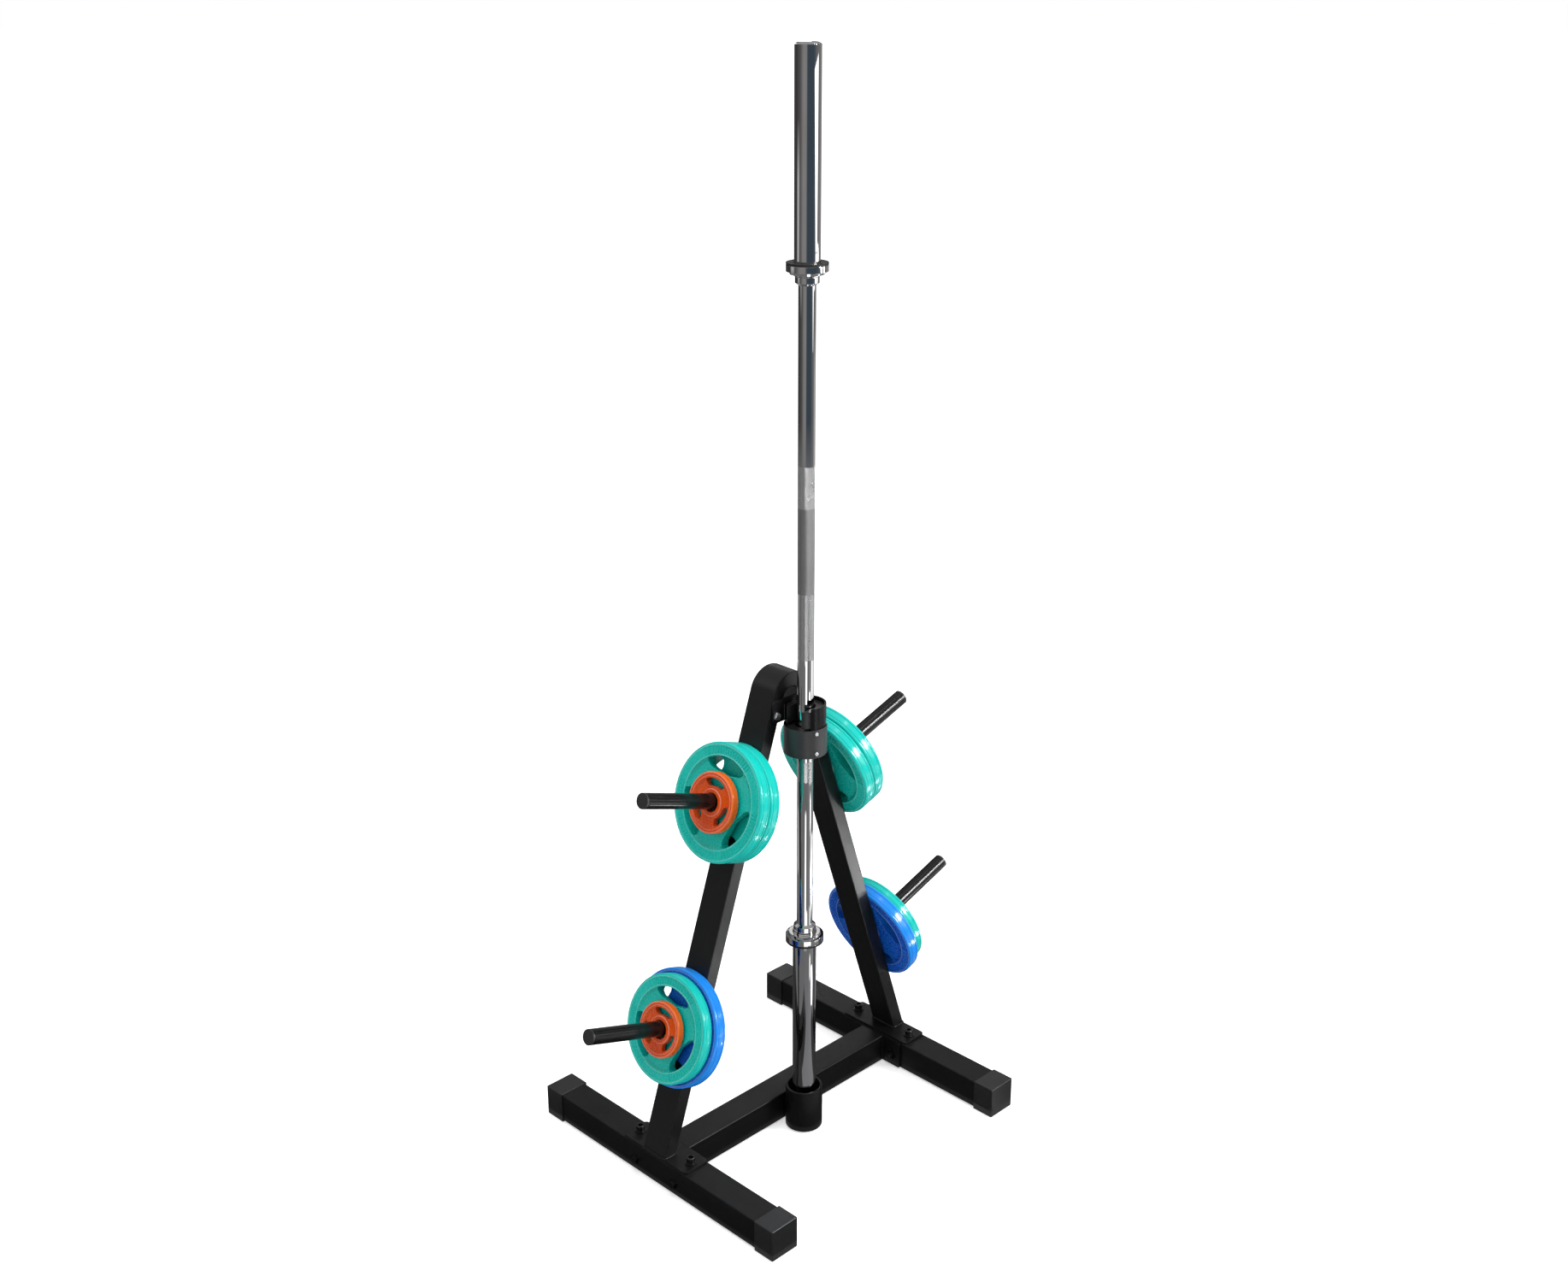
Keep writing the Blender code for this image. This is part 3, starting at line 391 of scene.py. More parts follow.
def cut_away(mesh, cutters, name):
    """A mesh with other meshes, each with its matrix, cut out of it."""
    item = add_item(name, mesh)
    tools = []
    for index, (cutter, matrix) in enumerate(cutters):
        tool = add_item(f"{name}_cut_{index}", cutter)
        tool.matrix_world = matrix
        tools.append(tool)
        modifier = item.modifiers.new("cut", "BOOLEAN")
        modifier.operation = "DIFFERENCE"
        modifier.solver = "EXACT"
        modifier.object = tool
    result = evaluated(item)
    for thing in [item] + tools:
        bpy.data.objects.remove(thing)
    return smoothed(result)


weighed = {}


def area_weighted(mesh):
    """The mesh with normals weighted by face area, so that flats and walls stay true beside their rounds."""
    if mesh.name not in weighed:
        item = add_item("weighing", mesh)
        modifier = item.modifiers.new("weigh", "WEIGHTED_NORMAL")
        modifier.mode = "FACE_AREA"
        modifier.weight = 50
        modifier.keep_sharp = True
        weighed[mesh.name] = evaluated(item)
        bpy.data.objects.remove(item)
    return weighed[mesh.name]


def along(axis, place):
    """A frame at a place whose local Z looks along an axis."""
    turn = Vector((0, 0, 1)).rotation_difference(Vector(axis)).to_matrix().to_4x4()
    return Matrix.Translation(place) @ turn


# Materials

class Wiring:
    """The nodes of a material or a world, being wired."""

    def __init__(self, tree):
        self.tree = tree

    def link(self, value, socket):
        """Carries a value to a socket."""
        self.tree.links.new(value, socket)

    def node(self, kind, inputs=None, **settings):
        """A node with its settings, and with values or links on its inputs."""
        node = self.tree.nodes.new(kind)
        for key, value in settings.items():
            setattr(node, key, value)
        for key, value in (inputs or {}).items():
            if isinstance(value, bpy.types.NodeSocket):
                self.link(value, node.inputs[key])
            else:
                node.inputs[key].default_value = value
        return node

    def maths(self, operation, a, b=0.0, clamp=False):
        """One sum of two values."""
        return self.node("ShaderNodeMath", {0: a, 1: b}, operation=operation, use_clamp=clamp).outputs[0]

    def plus(self, a, b, clamp=False):
        """The sum of two values."""
        return self.maths("ADD", a, b, clamp)

    def times(self, a, b):
        """The product of two values."""
        return self.maths("MULTIPLY", a, b)

    def ramp(self, value, low, high, to_low=0.0, to_high=1.0):
        """A value carried from one range to another."""
        return self.node("ShaderNodeMapRange", {"Value": value, "From Min": low, "From Max": high,
                                                "To Min": to_low, "To Max": to_high}).outputs["Result"]

    def open_ray(self):
        """1 for rays from the camera, off a glossy surface or through a clear one."""
        path = self.node("ShaderNodeLightPath").outputs
        shiny = self.maths("MAXIMUM", path["Is Glossy Ray"], path["Is Transmission Ray"])
        return self.maths("MAXIMUM", path["Is Camera Ray"], shiny)


class Look(Wiring):
    """A material being wired: its tree, its shader and its object coordinates."""

    def __init__(self, name, colour, roughness, metallic=0.0, shine=0.5):
        self.material = bpy.data.materials.new(name)
        self.material.use_nodes = True
        super().__init__(self.material.node_tree)
        self.shader = self.tree.nodes["Principled BSDF"]
        self.shader.inputs["Base Color"].default_value = (*colour, 1.0)
        self.shader.inputs["Roughness"].default_value = roughness
        self.shader.inputs["Metallic"].default_value = metallic
        self.shader.inputs["Specular IOR Level"].default_value = shine
        self.coords = self.node("ShaderNodeTexCoord").outputs["Object"]

    def noise(self, scale, detail=3.0, vector=None, rough=0.5):
        """A noise value between 0 and 1."""
        inputs = {"Vector": vector or self.coords, "Scale": scale, "Detail": detail, "Roughness": rough}
        return self.node("ShaderNodeTexNoise", inputs).outputs["Fac"]

    def xyz(self, vector=None):
        """The three parts of a vector, of the object coordinates unless another is given."""
        return self.node("ShaderNodeSeparateXYZ", {"Vector": vector or self.coords}).outputs

    def stretched(self, x, y, z):
        """Object coordinates scaled along each axis."""
        return self.node("ShaderNodeMapping", {"Vector": self.coords, "Scale": (x, y, z)}).outputs["Vector"]

    def mix(self, factor, first, second):
        """A colour between two colours."""
        inputs = {0: factor}
        for key, colour in ((6, first), (7, second)):
            inputs[key] = colour if isinstance(colour, bpy.types.NodeSocket) else (*colour, 1.0)
        return self.node("ShaderNodeMix", inputs, data_type="RGBA").outputs[2]

    def bump(self, height, distance, strength=1.0, normal=None):
        """A bump from a height value, over another one where given."""
        inputs = {"Height": height, "Distance": distance, "Strength": strength}
        if normal:
            inputs["Normal"] = normal
        return self.node("ShaderNodeBump", inputs).outputs["Normal"]

    def wire(self, **links):
        """Links values to the shader's inputs; underscores stand for spaces."""
        for key, value in links.items():
            self.link(value, self.shader.inputs[key.replace("_", " ")])
        return self.material

    def surface(self, socket):
        """Links another shader than the own one to the material's output."""
        output = next(n for n in self.tree.nodes if n.type == "OUTPUT_MATERIAL")
        self.link(socket, output.inputs["Surface"])
        return self.material


def powder_coat(name, dark=(0.0030, 0.0030, 0.0033), pale=(0.0052, 0.0052, 0.0058), gloss=0.34, shine=0.38):
    """Satin black powder coat: fine orange peel, faint cloudiness, a dense fine speckle."""
    look = Look(name, dark, gloss, shine=shine)
    cloud = look.noise(7.0, 4.0)
    speck = look.noise(700.0, 2.0)
    peel = look.noise(380.0, 2.0)
    shade = look.plus(look.ramp(cloud, 0.3, 0.7, 0.0, 0.5), look.ramp(speck, 0.45, 0.75, 0.0, 0.7), True)
    rough = look.plus(look.ramp(cloud, 0.3, 0.7, gloss - 0.03, gloss + 0.04),
                      look.ramp(speck, 0.4, 0.7, -0.04, 0.06))
    normal = look.bump(peel, 0.00022, 0.50, look.bump(speck, 0.00014, 0.60))
    return look.wire(Base_Color=look.mix(shade, dark, pale), Roughness=rough, Normal=normal)


def moulded(name, dark, pale, gloss, shine=0.5):
    """Moulded plastic: a fine spark-eroded grain and a few soft scuffs."""
    look = Look(name, dark, gloss, shine=shine)
    grain = look.noise(1300.0, 2.0)
    scuff = look.noise(38.0, 6.0, look.stretched(1.0, 1.0, 2.5), 0.62)
    marks = look.ramp(scuff, 0.56, 0.72)
    rough = look.plus(look.ramp(grain, 0.3, 0.7, gloss - 0.05, gloss + 0.05), look.times(marks, 0.12))
    shade = look.plus(look.ramp(grain, 0.35, 0.75, 0.0, 0.55), look.times(marks, 0.5), True)
    normal = look.bump(grain, 0.00012, 0.6)
    return look.wire(Base_Color=look.mix(shade, dark, pale), Roughness=rough, Normal=normal)


def chrome(name, tone=0.62, rough=0.020):
    """Hard chrome: polished round the bar, with faint smears."""
    look = Look(name, (tone, tone, tone * 1.01), rough, 1.0)
    smear = look.noise(16.0, 5.0, look.stretched(1.0, 1.0, 0.35), 0.6)
    polish = look.noise(1.0, 2.0, look.stretched(60.0, 60.0, 2200.0))
    roughness = look.plus(look.ramp(smear, 0.35, 0.7, rough * 0.7, rough * 1.5),
                          look.ramp(polish, 0.4, 0.7, 0.0, 0.006))
    dull = (tone * 0.90, tone * 0.88, tone * 0.87)
    tint = look.mix(look.ramp(smear, 0.35, 0.7), (tone, tone, tone * 1.02), dull)
    return look.wire(Base_Color=tint, Roughness=roughness)


def knurl(name, pitch, depth, tone, rough):
    """Chromed knurling: two sets of fine grooves that cross on the shaft, their bottoms painted darker as
    painted shade.
    """
    look = Look(name, (tone, tone, tone), rough, 1.0)
    parts = look.xyz()
    around = look.times(look.maths("ARCTAN2", parts["Y"], parts["X"]), SHAFT_D / 2)

    def wave(sign):
        """One set of grooves."""
        slope = look.plus(look.times(parts["Z"], 0.62), look.times(around, sign))
        return look.maths("SINE", look.times(slope, tau / pitch))

    height = look.times(wave(1.0), wave(-1.0))
    roughness = look.ramp(look.noise(30.0, 4.0), 0.3, 0.7, rough * 0.85, rough * 1.2)
    # Painted shade: the grooves' bottoms are darker than their crests.
    tint = look.mix(look.ramp(height, -0.9, 0.9), [tone * 0.72] * 3, [tone] * 3)
    return look.wire(Base_Color=tint, Roughness=roughness, Normal=look.bump(height, depth, 1.0))


def enamel(name, deep, bright, radius):
    """Thick glossy enamel over cast iron, smoother round the rim, its rim painted lighter as painted sheen
    and its fine ring edges given pale painted highlights.
    """
    look = Look(name, deep, 0.34, shine=0.38)
    look.shader.inputs["Coat Weight"].default_value = 0.12
    look.shader.inputs["Coat Roughness"].default_value = 0.10
    parts = look.xyz()
    squares = look.plus(look.times(parts["X"], parts["X"]), look.times(parts["Y"], parts["Y"]))
    out = look.maths("SQRT", squares)
    rim = look.ramp(out, radius * 0.955, radius * 0.985)
    cloud = look.noise(22.0, 4.0)
    peel = look.noise(260.0, 3.0)
    grit = look.noise(1100.0, 2.0)
    # Painted sheen: the rim and its rounded edge are painted in the lighter tone, as if more light falls on
    # them; the clouds add random tone.
    shade = look.plus(look.times(rim, 0.85), look.ramp(cloud, 0.3, 0.75, 0.0, 0.3), True)
    # Painted highlights: pale lines on the boss edge, the rim's inner step and the outer bevel, where light
    # would catch the rounded edges.
    painted_highlight = 0.0
    for place in (BOSS_EDGE, radius * (0.87 if radius < SMALL else 0.79), radius * 0.955):
        gap = look.maths("ABSOLUTE", look.maths("SUBTRACT", out, place))
        painted_highlight = look.maths("MAXIMUM", look.ramp(gap, 0.0004, 0.0016, 0.20, 0.0), painted_highlight)
    pale = tuple(0.45 + 0.55 * value for value in bright)
    rough = look.maths("SUBTRACT", look.ramp(peel, 0.3, 0.7, 0.23, 0.32), look.times(rim, 0.13))
    normal = look.bump(peel, 0.00018, 0.35, look.bump(grit, 0.00008, 0.45))
    tone = look.mix(painted_highlight, look.mix(shade, deep, bright), pale)
    return look.wire(Base_Color=tone, Roughness=rough, Normal=normal)


def bare_metal(name, colour, worn, gloss):
    """Plated or turned steel: fine tool marks and dull patches."""
    look = Look(name, colour, gloss, 1.0)
    marks = look.noise(1500.0, 3.0)
    patch = look.noise(120.0, 4.0)
    rough = look.plus(look.ramp(patch, 0.3, 0.7, gloss * 0.8, gloss * 1.4),
                      look.ramp(marks, 0.4, 0.7, 0.0, 0.05))
    tint = look.mix(look.ramp(patch, 0.35, 0.7), colour, worn)
    return look.wire(Base_Color=tint, Roughness=rough, Normal=look.bump(marks, 0.00005, 0.5))


looks = {
    "powder_coat": powder_coat("powder_coat_finish"),
    "peg_coat": powder_coat("peg_coat_finish", gloss=0.18),
    "holder_coat": powder_coat("holder_coat_finish", gloss=0.20, shine=0.14),
    "weld": powder_coat("weld_finish", (0.004, 0.004, 0.0045), (0.007, 0.007, 0.008), 0.30),
    "black_plastic": moulded("black_plastic_finish", (0.0075, 0.0076, 0.0084), (0.0140, 0.0142, 0.0156), 0.36,
                             0.85),
    "band": moulded("lock_band_finish", (0.0165, 0.0168, 0.0180), (0.0280, 0.0283, 0.0300), 0.42),
    "black_nylon": moulded("black_nylon_finish", (0.0060, 0.0060, 0.0064), (0.0120, 0.0120, 0.0125), 0.36),
    "black_rubber": moulded("black_rubber_finish", (0.0040, 0.0040, 0.0042), (0.0080, 0.0080, 0.0082), 0.62),
    "chrome": chrome("chrome_finish"),
    "chrome_sleeve": chrome("sleeve_chrome_finish"),
    "knurl": knurl("grip_knurl_finish", 0.0021, 0.00030, 0.54, 0.30),
    "knurl_worn": knurl("middle_knurl_finish", 0.0021, 0.00022, 0.35, 0.34),
    "knurl_bright": knurl("bright_knurl_finish", 0.0016, 0.00004, 0.66, 0.10),
    "zinc": bare_metal("zinc_finish", (0.78, 0.79, 0.81), (0.58, 0.59, 0.62), 0.24),
    "dark_bolt": bare_metal("dark_bolt_finish", (0.110, 0.110, 0.116), (0.055, 0.055, 0.058), 0.30),
    "bronze": bare_metal("bronze_finish", (0.42, 0.25, 0.11), (0.30, 0.17, 0.07), 0.34),
}


def put(name, mesh, look, node=None, matrix=AS_IS, body="root"):
    """Places a piece, gives it its materials and slot, sets it on a body and has it stand for a node."""
    mesh = area_weighted(mesh)
    item = add_item(name, mesh)
    item.matrix_world = matrix
    names = look if isinstance(look, list) else [look]
    while len(mesh.materials) < len(names):
        mesh.materials.append(None)
    for index, key in enumerate(names):
        item.material_slots[index].link = "OBJECT"
        item.material_slots[index].material = looks[key]
    bpy.context.view_layer.update()
    if node:
        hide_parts(node)
    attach(item, body)


def weld(name, points, size, closed=True):
    """A weld bead of the standing frame."""
    put(name, bead(name, points, size, closed), "weld")


def upright(x, y, low, count):
    """Points of a line that runs straight up."""
    return [(x, y, low + BEAD_PITCH * step) for step in range(count)]


# Feet, crossbar and bolted joints

def make_base():
    """The tubes on the floor and all that is bolted to them."""
    foot = square_tube("foot_tube", TUBE, FOOT_LENGTH - 2 * (CAP_WALL + 0.001), TUBE_RADIUS, TUBE_WALL)
    cap = square_tube("foot_cap", TUBE + 2 * (CAP_WALL + FIT), CAP_DEPTH, CAP_EDGE, CAP_WALL, closed=True)
    for side, word in SIDES:
        middle = Vector((side * FOOT_X, 0, FOOT_MIDDLE))
        put(word + "_foot_tube", foot, "powder_coat", word + "_foot", along((0, 1, 0), middle))
        for end, end_word in ENDS:
            place = middle + Vector((0, end * (FOOT_LENGTH - CAP_DEPTH) / 2, 0))
            name = f"{word}_{end_word}_foot_cap"
            put(name + "_cover", cap, "black_plastic", name, along((0, -end, 0), place))
    plate_inner = FOOT_FACE - FIT - JOINT_PLATE
    bar = square_tube("crossbar_tube", TUBE, 2 * (plate_inner - FIT), TUBE_RADIUS, TUBE_WALL)
    put("crossbar_tube", bar, "powder_coat", "crossbar", along((1, 0, 0), (0, 0, FOOT_MIDDLE)))
    make_joints(plate_inner)
    make_base_plates()


def make_joints(plate_inner):
    """The plates on the crossbar's ends, their welded nuts and the bolts through the feet."""
    outline = rounded_rectangle(JOINT_PLATE_HEIGHT, JOINT_PLATE_WIDTH, JOINT_PLATE_CORNER, 3)
    plate = slab("joint_plate", outline, 0, JOINT_PLATE, 0.0007)
    hexagon = fillet(hex_points(JOINT_HEX), JOINT_HEX_CORNER, 2, True)
    nut = slab("joint_nut", hexagon, 0, JOINT_NUT, 0.0008)
    thread = lathe("joint_thread", thread_profile(JOINT_THREAD_RADIUS, JOINT_THREAD_END), 24, False)
    nut_set = joined("joint_nut_set", [(nut, AS_IS), (thread, AS_IS)])
    washer = disc("head_washer", JOINT_WASHER_RADIUS, 0, JOINT_WASHER, 32)
    head = joined("joint_head", [(slab("head_hex", hexagon, 0, JOINT_HEAD, 0.0009), AS_IS), (washer, AS_IS)])
    for side, word in SIDES:
        face = side * plate_inner
        head_face = side * (FOOT_X + TUBE / 2 + FIT)
        for end, end_word in ENDS:
            y = end * JOINT_BOLT_Y
            name = f"{word}_{end_word}_joint_bolt"
            put(name + "_head", head, "dark_bolt", name, along((side, 0, 0), (head_face, y, JOINT_BOLT_Z)))
            put(f"{word}_{end_word}_joint_nut", nut_set, "dark_bolt", None,
                along((-side, 0, 0), (face, y, JOINT_BOLT_Z)))
        placed = joined("joint_plate_placed", [(plate, along((side, 0, 0), (face, 0, FOOT_MIDDLE)))])
        put(word + "_joint_plate_face", placed, "powder_coat", word + "_joint_plate")
        for end, end_word in ENDS:
            seam = [(side * (plate_inner - 0.0006), end * (TUBE / 2 + 0.0006), FOOT_MIDDLE + z)
                    for z in (-JOINT_WELD_HALF, JOINT_WELD_HALF)]
            weld(f"{word}_{end_word}_joint_weld", seam, 0.0016, closed=False)


def thread_profile(radius, height, pitch=0.0014):
    """The end of a threaded shank, standing on Z = 0."""
    points = [(0, height), (radius - 0.0009, height)]
    z = height - 0.0006
    while z > pitch:
        points += [(radius, z), (radius - 0.0006, z - pitch / 2)]
        z -= pitch
    return points + [(radius, 0), (0, 0)]


def socket_bolt_mesh():
    """A socket head screw on its washer: knurled head, chamfered rim and a hexagon socket."""
    washer = disc("washer", 0.0120, 0, 0.0025, 40, 0.0005)
    facets = 72
    angles = [tau * step / facets for step in range(facets)]
    ribs = [step % 2 for step in range(facets)]
    socket = [0.0050 / cos((a + pi / 6) % (pi / 3) - pi / 6) for a in angles]
    # height and radii of each ring: up the head, over its rim and down the socket
    rings = [(z, [radius - depth * rib for rib in ribs]) for radius, z, depth in (
        (0.0090, 0.0024, 0.0), (0.0090, 0.0034, 0.0), (0.0090, 0.0038, 0.00035), (0.0090, 0.0126, 0.00035),
        (0.0090, 0.0130, 0.0), (0.0088, 0.0138, 0.0), (0.0081, 0.0145, 0.0), (0.0064, 0.0145, 0.0))]
    rings += [(z, [r * grow for r in socket]) for z, grow in ((0.0143, 1.04), (0.0139, 1.0), (0.0085, 1.0))]
    bm = bmesh.new()
    made = [[bm.verts.new((r * cos(a), r * sin(a), z)) for r, a in zip(radii, angles)] for z, radii in rings]
    skin_rings(bm, made)
    bm.faces.new(made[-1])
    return joined("socket_bolt", [(washer, AS_IS), (finish_mesh("socket_head", bm, 30), AS_IS)], 30)


def make_base_plates():
    """The plates under the legs with their screws."""
    outline = rounded_rectangle(BASE_PLATE_WIDTH, BASE_PLATE_LENGTH, BASE_PLATE_CORNER, 8)
    plate = slab("base_plate", outline, BASE_BOTTOM, BASE_TOP, 0.0009)
    bolt = socket_bolt_mesh()
    for side, word in SIDES:
        put(word + "_base_plate_face", plate, "powder_coat", word + "_base_plate",
            Matrix.Translation((side * FOOT_X, 0, 0)))
        for end, end_word in ENDS:
            name = f"{word}_{end_word}_base_bolt"
            place = (side * FOOT_X, end * BASE_BOLT_Y, BASE_TOP + FIT)
            put(name + "_head", bolt, "dark_bolt", name, Matrix.Translation(place))


# A-frame

def make_a_frame():
    """The bent tube, from one base plate over the bend to the other, and the welds at its feet."""
    outline = rounded_rectangle(LEG_DEPTH, LEG_WIDTH, LEG_EDGE, 5)
    middle = LEG_DEPTH / 2
    radius = BEND_RADIUS - middle

    def foot(side):
        """The cut end of a leg, level with the base plate."""
        return lambda u, v: (side * (LEG_OUT - (middle - u) / cos(LEAN)), v, LEG_BOTTOM)

    def bend(angle):
        """A stop on the bend, at an angle from +X."""
        return lambda u, v: ((radius + u) * cos(angle), v, BEND_Z + (radius + u) * sin(angle))

    steps = 48
    turns = [pi - LEAN - step * (pi - 2 * LEAN) / steps for step in range(steps + 1)]
    path = [foot(-1)] + [bend(angle) for angle in turns] + [foot(1)]
    put("a_frame_tube", sweep("a_frame_tube", path, outline), "powder_coat", "a_frame")
    wide = LEG_DEPTH / cos(LEAN)
    for side, word in SIDES:
        seam = [(side * (LEG_OUT - wide / 2) + x, y, LEG_BOTTOM + 0.0004)
                for x, y in rounded_rectangle(wide + 0.0016, LEG_WIDTH + 0.0016, 0.0052, 4)]
        weld(word + "_leg_weld", seam, 0.0019)


# Pegs and plates

# Each kind of plate: radius, thickness, web recess, the window's outer and inner edge, ribs by a window
KINDS = {
    "large": (0.1230, 0.0283, 0.0047, 0.765, 0.455, 19),
    "middle": (0.1130, 0.0252, 0.0042, 0.765, 0.455, 17),
    "small": (0.0631, 0.0175, 0.0028, 0.790, 0.530, 0),
    "little": (0.0577, 0.0160, 0.0026, 0.790, 0.530, 0),
}
# Below this radius a plate is of the small make
SMALL = 0.08
BOSS_EDGE = 0.0275
BOSS_OUT = 0.0286
STACKS = {
    "upper_left": (("large", "turquoise"), ("large", "turquoise"), ("small", "orange")),
    "lower_left": (("large", "blue"), ("middle", "turquoise"), ("little", "orange")),
    "upper_right": (("large", "turquoise"), ("large", "turquoise")),
    "lower_right": (("large", "blue"), ("middle", "turquoise")),
}
PLACES = ("inner", "outer", "front")
# Each colour: the face's tone, and the lighter tone that the rim is painted in as painted sheen, which the
# random clouds also reach towards.
TONES = {
    "turquoise": ((0.002, 0.390, 0.325), (0.005, 0.400, 0.350)),
    "orange": ((0.500, 0.048, 0.003), (0.700, 0.125, 0.010)),
    "blue": ((0.003, 0.064, 0.410), (0.009, 0.190, 0.620)),
}
# Shares of the radius at which a plate's face has its rows outside the window, after the window's outer edge
# and then over the rim
AFTER_WINDOW = (-0.045, -0.028, -0.012, 0.004, 0.014, 0.020, 0.026, 0.033)
OVER_RIM = (0.86, 0.868, 0.876, 0.888, 0.899, 0.908, 0.921, 0.929, 0.937, 0.945)


def peg_frame(side, height):
    """At a peg's root on the leg's outer face: Z out along the peg, X up the leg."""
    up = Vector((-side * sin(LEAN), 0, cos(LEAN)))
    out = Vector((side * cos(LEAN), 0, sin(LEAN)))
    across = out.cross(up)
    place = Vector((side * LEG_OUT, 0, LEG_BOTTOM)) + up * height
    return Matrix.Translation(place) @ Matrix((up, across, out)).transposed().to_4x4()


def window_edges(kind, angle):
    """Inner and outer edge of the grip window at an angle from its middle, or their meeting line."""
    radius, _, _, outer, inner, _ = KINDS[kind]
    small = radius < SMALL
    half = radians(33.5 if small else 35.0)
    meet = radius * (outer + inner) * (0.545 if small else 0.575)
    share = abs(angle) / half
    if share >= 1:
        return meet, meet
    if small:
        low = inner + 0.02 * share ** 2
        corner = max(0.0, (share - 0.72) / 0.28)
    else:
        low = inner + 0.175 * share ** 1.75
        corner = max(0.0, (share - 0.88) / 0.12)
    ease = 1 - sqrt(max(0.0, 1 - corner ** 2))
    low = radius * low
    high = radius * outer
    return low + (meet - low) * ease, high + (meet - high) * ease


def smooth_step(value, low, high):
    """0 below low, 1 above high, and a soft way between them."""
    t = min(1.0, max(0.0, (value - low) / (high - low)))
    return t * t * (3 - 2 * t)


def face_height(kind, r, angle):
    """Height of a plate's face over its middle plane."""
    radius, thick, recess, outer, _, _ = KINDS[kind]
    half = thick / 2
    web = half - recess
    hub = half - 0.0010
    rim = smooth_step(r, radius * (outer - 0.045), radius * (outer + 0.010))
    boss = 1 - smooth_step(r, 0.0262, 0.0284)
    height = web + (half - web) * rim + (hub - web) * boss
    if radius > SMALL:
        window = smooth_step(abs(angle), radians(37.5), radians(39.5))
        band = smooth_step(r, radius * (outer + 0.020), radius * (outer + 0.032))
        band *= 1 - smooth_step(r, radius * 0.922, radius * 0.936)
        return height - band * (1 - window) * 0.0009
    groove = smooth_step(r, radius * 0.868, radius * 0.878)
    groove *= 1 - smooth_step(r, radius * 0.898, radius * 0.908)
    return height - groove * 0.0006


def rim_rows(kind):
    """Radius and height of the rows round the rim, from the face to the middle plane."""
    radius, thick, _, _, _, _ = KINDS[kind]
    half = thick / 2
    soft = thick * 0.19
    lip = 0.0009 if radius > SMALL else 0.0006
    steps = 5
    rows = []
    for step in range(steps + 1):
        a = step / steps * pi / 2
        rows.append((radius - soft * 0.75 * (1 - sin(a)), half - soft * (1 - cos(a))))
    top = half - soft
    rows += [(radius - 0.0001, top - 0.0012), (radius - lip, top - 0.0018), (radius - lip, top - 0.0024),
             (radius - 0.0002, top - 0.0031), (radius, top * 0.45), (radius, 0.0)]
    return [(r, z) for r, z in rows if z >= 0]


def plate_column(kind, angle):
    """A face's (radius, height) rows at an angle: bore to window, window to rim, and if it is open there."""
    radius, _, _, outer, _, _ = KINDS[kind]
    bore = PLATE_BORE / 2
    low, high = window_edges(kind, angle)
    open_here = high - low > 1e-6
    soft = (0.0007 if radius < SMALL else 0.0011) if open_here else 0.0

    def on_face(r, drop=0.0):
        """A row at a radius, let down a little from the face."""
        return r, face_height(kind, r, angle) - drop

    bore_edge = ((0.0, 0.0016), (0.0003, 0.0008), (0.0010, 0.0002), (0.0018, 0.0))
    inner_rows = [on_face(bore + reach, drop) for reach, drop in bore_edge]
    inner_rows += [on_face(r) for r in (0.0255, 0.0266, 0.0276, BOSS_OUT)]
    edge = low - soft * 1.6
    inner_rows += [on_face(BOSS_OUT + (edge - BOSS_OUT) * share)
                   for share in (0.18, 0.4, 0.6, 0.8, 0.92, 1.0)]
    inner_rows += [on_face(low - soft * back, soft * drop)
                   for back, drop in ((0.9, 0.12), (0.35, 0.45), (0.0, 1.0))]
    outer_rows = [on_face(high + (soft or 1e-5) * back, soft * drop)
                  for back, drop in ((0.0, 1.0), (0.35, 0.45), (0.9, 0.12), (1.6, 0.0))]
    start = outer_rows[-1][0]
    stops = [outer + reach for reach in AFTER_WINDOW] + list(OVER_RIM)
    outer_rows += [on_face(max(radius * stop, start + 0.00025 * (count + 1)))
                   for count, stop in enumerate(stops)]
    return inner_rows, outer_rows + rim_rows(kind), open_here


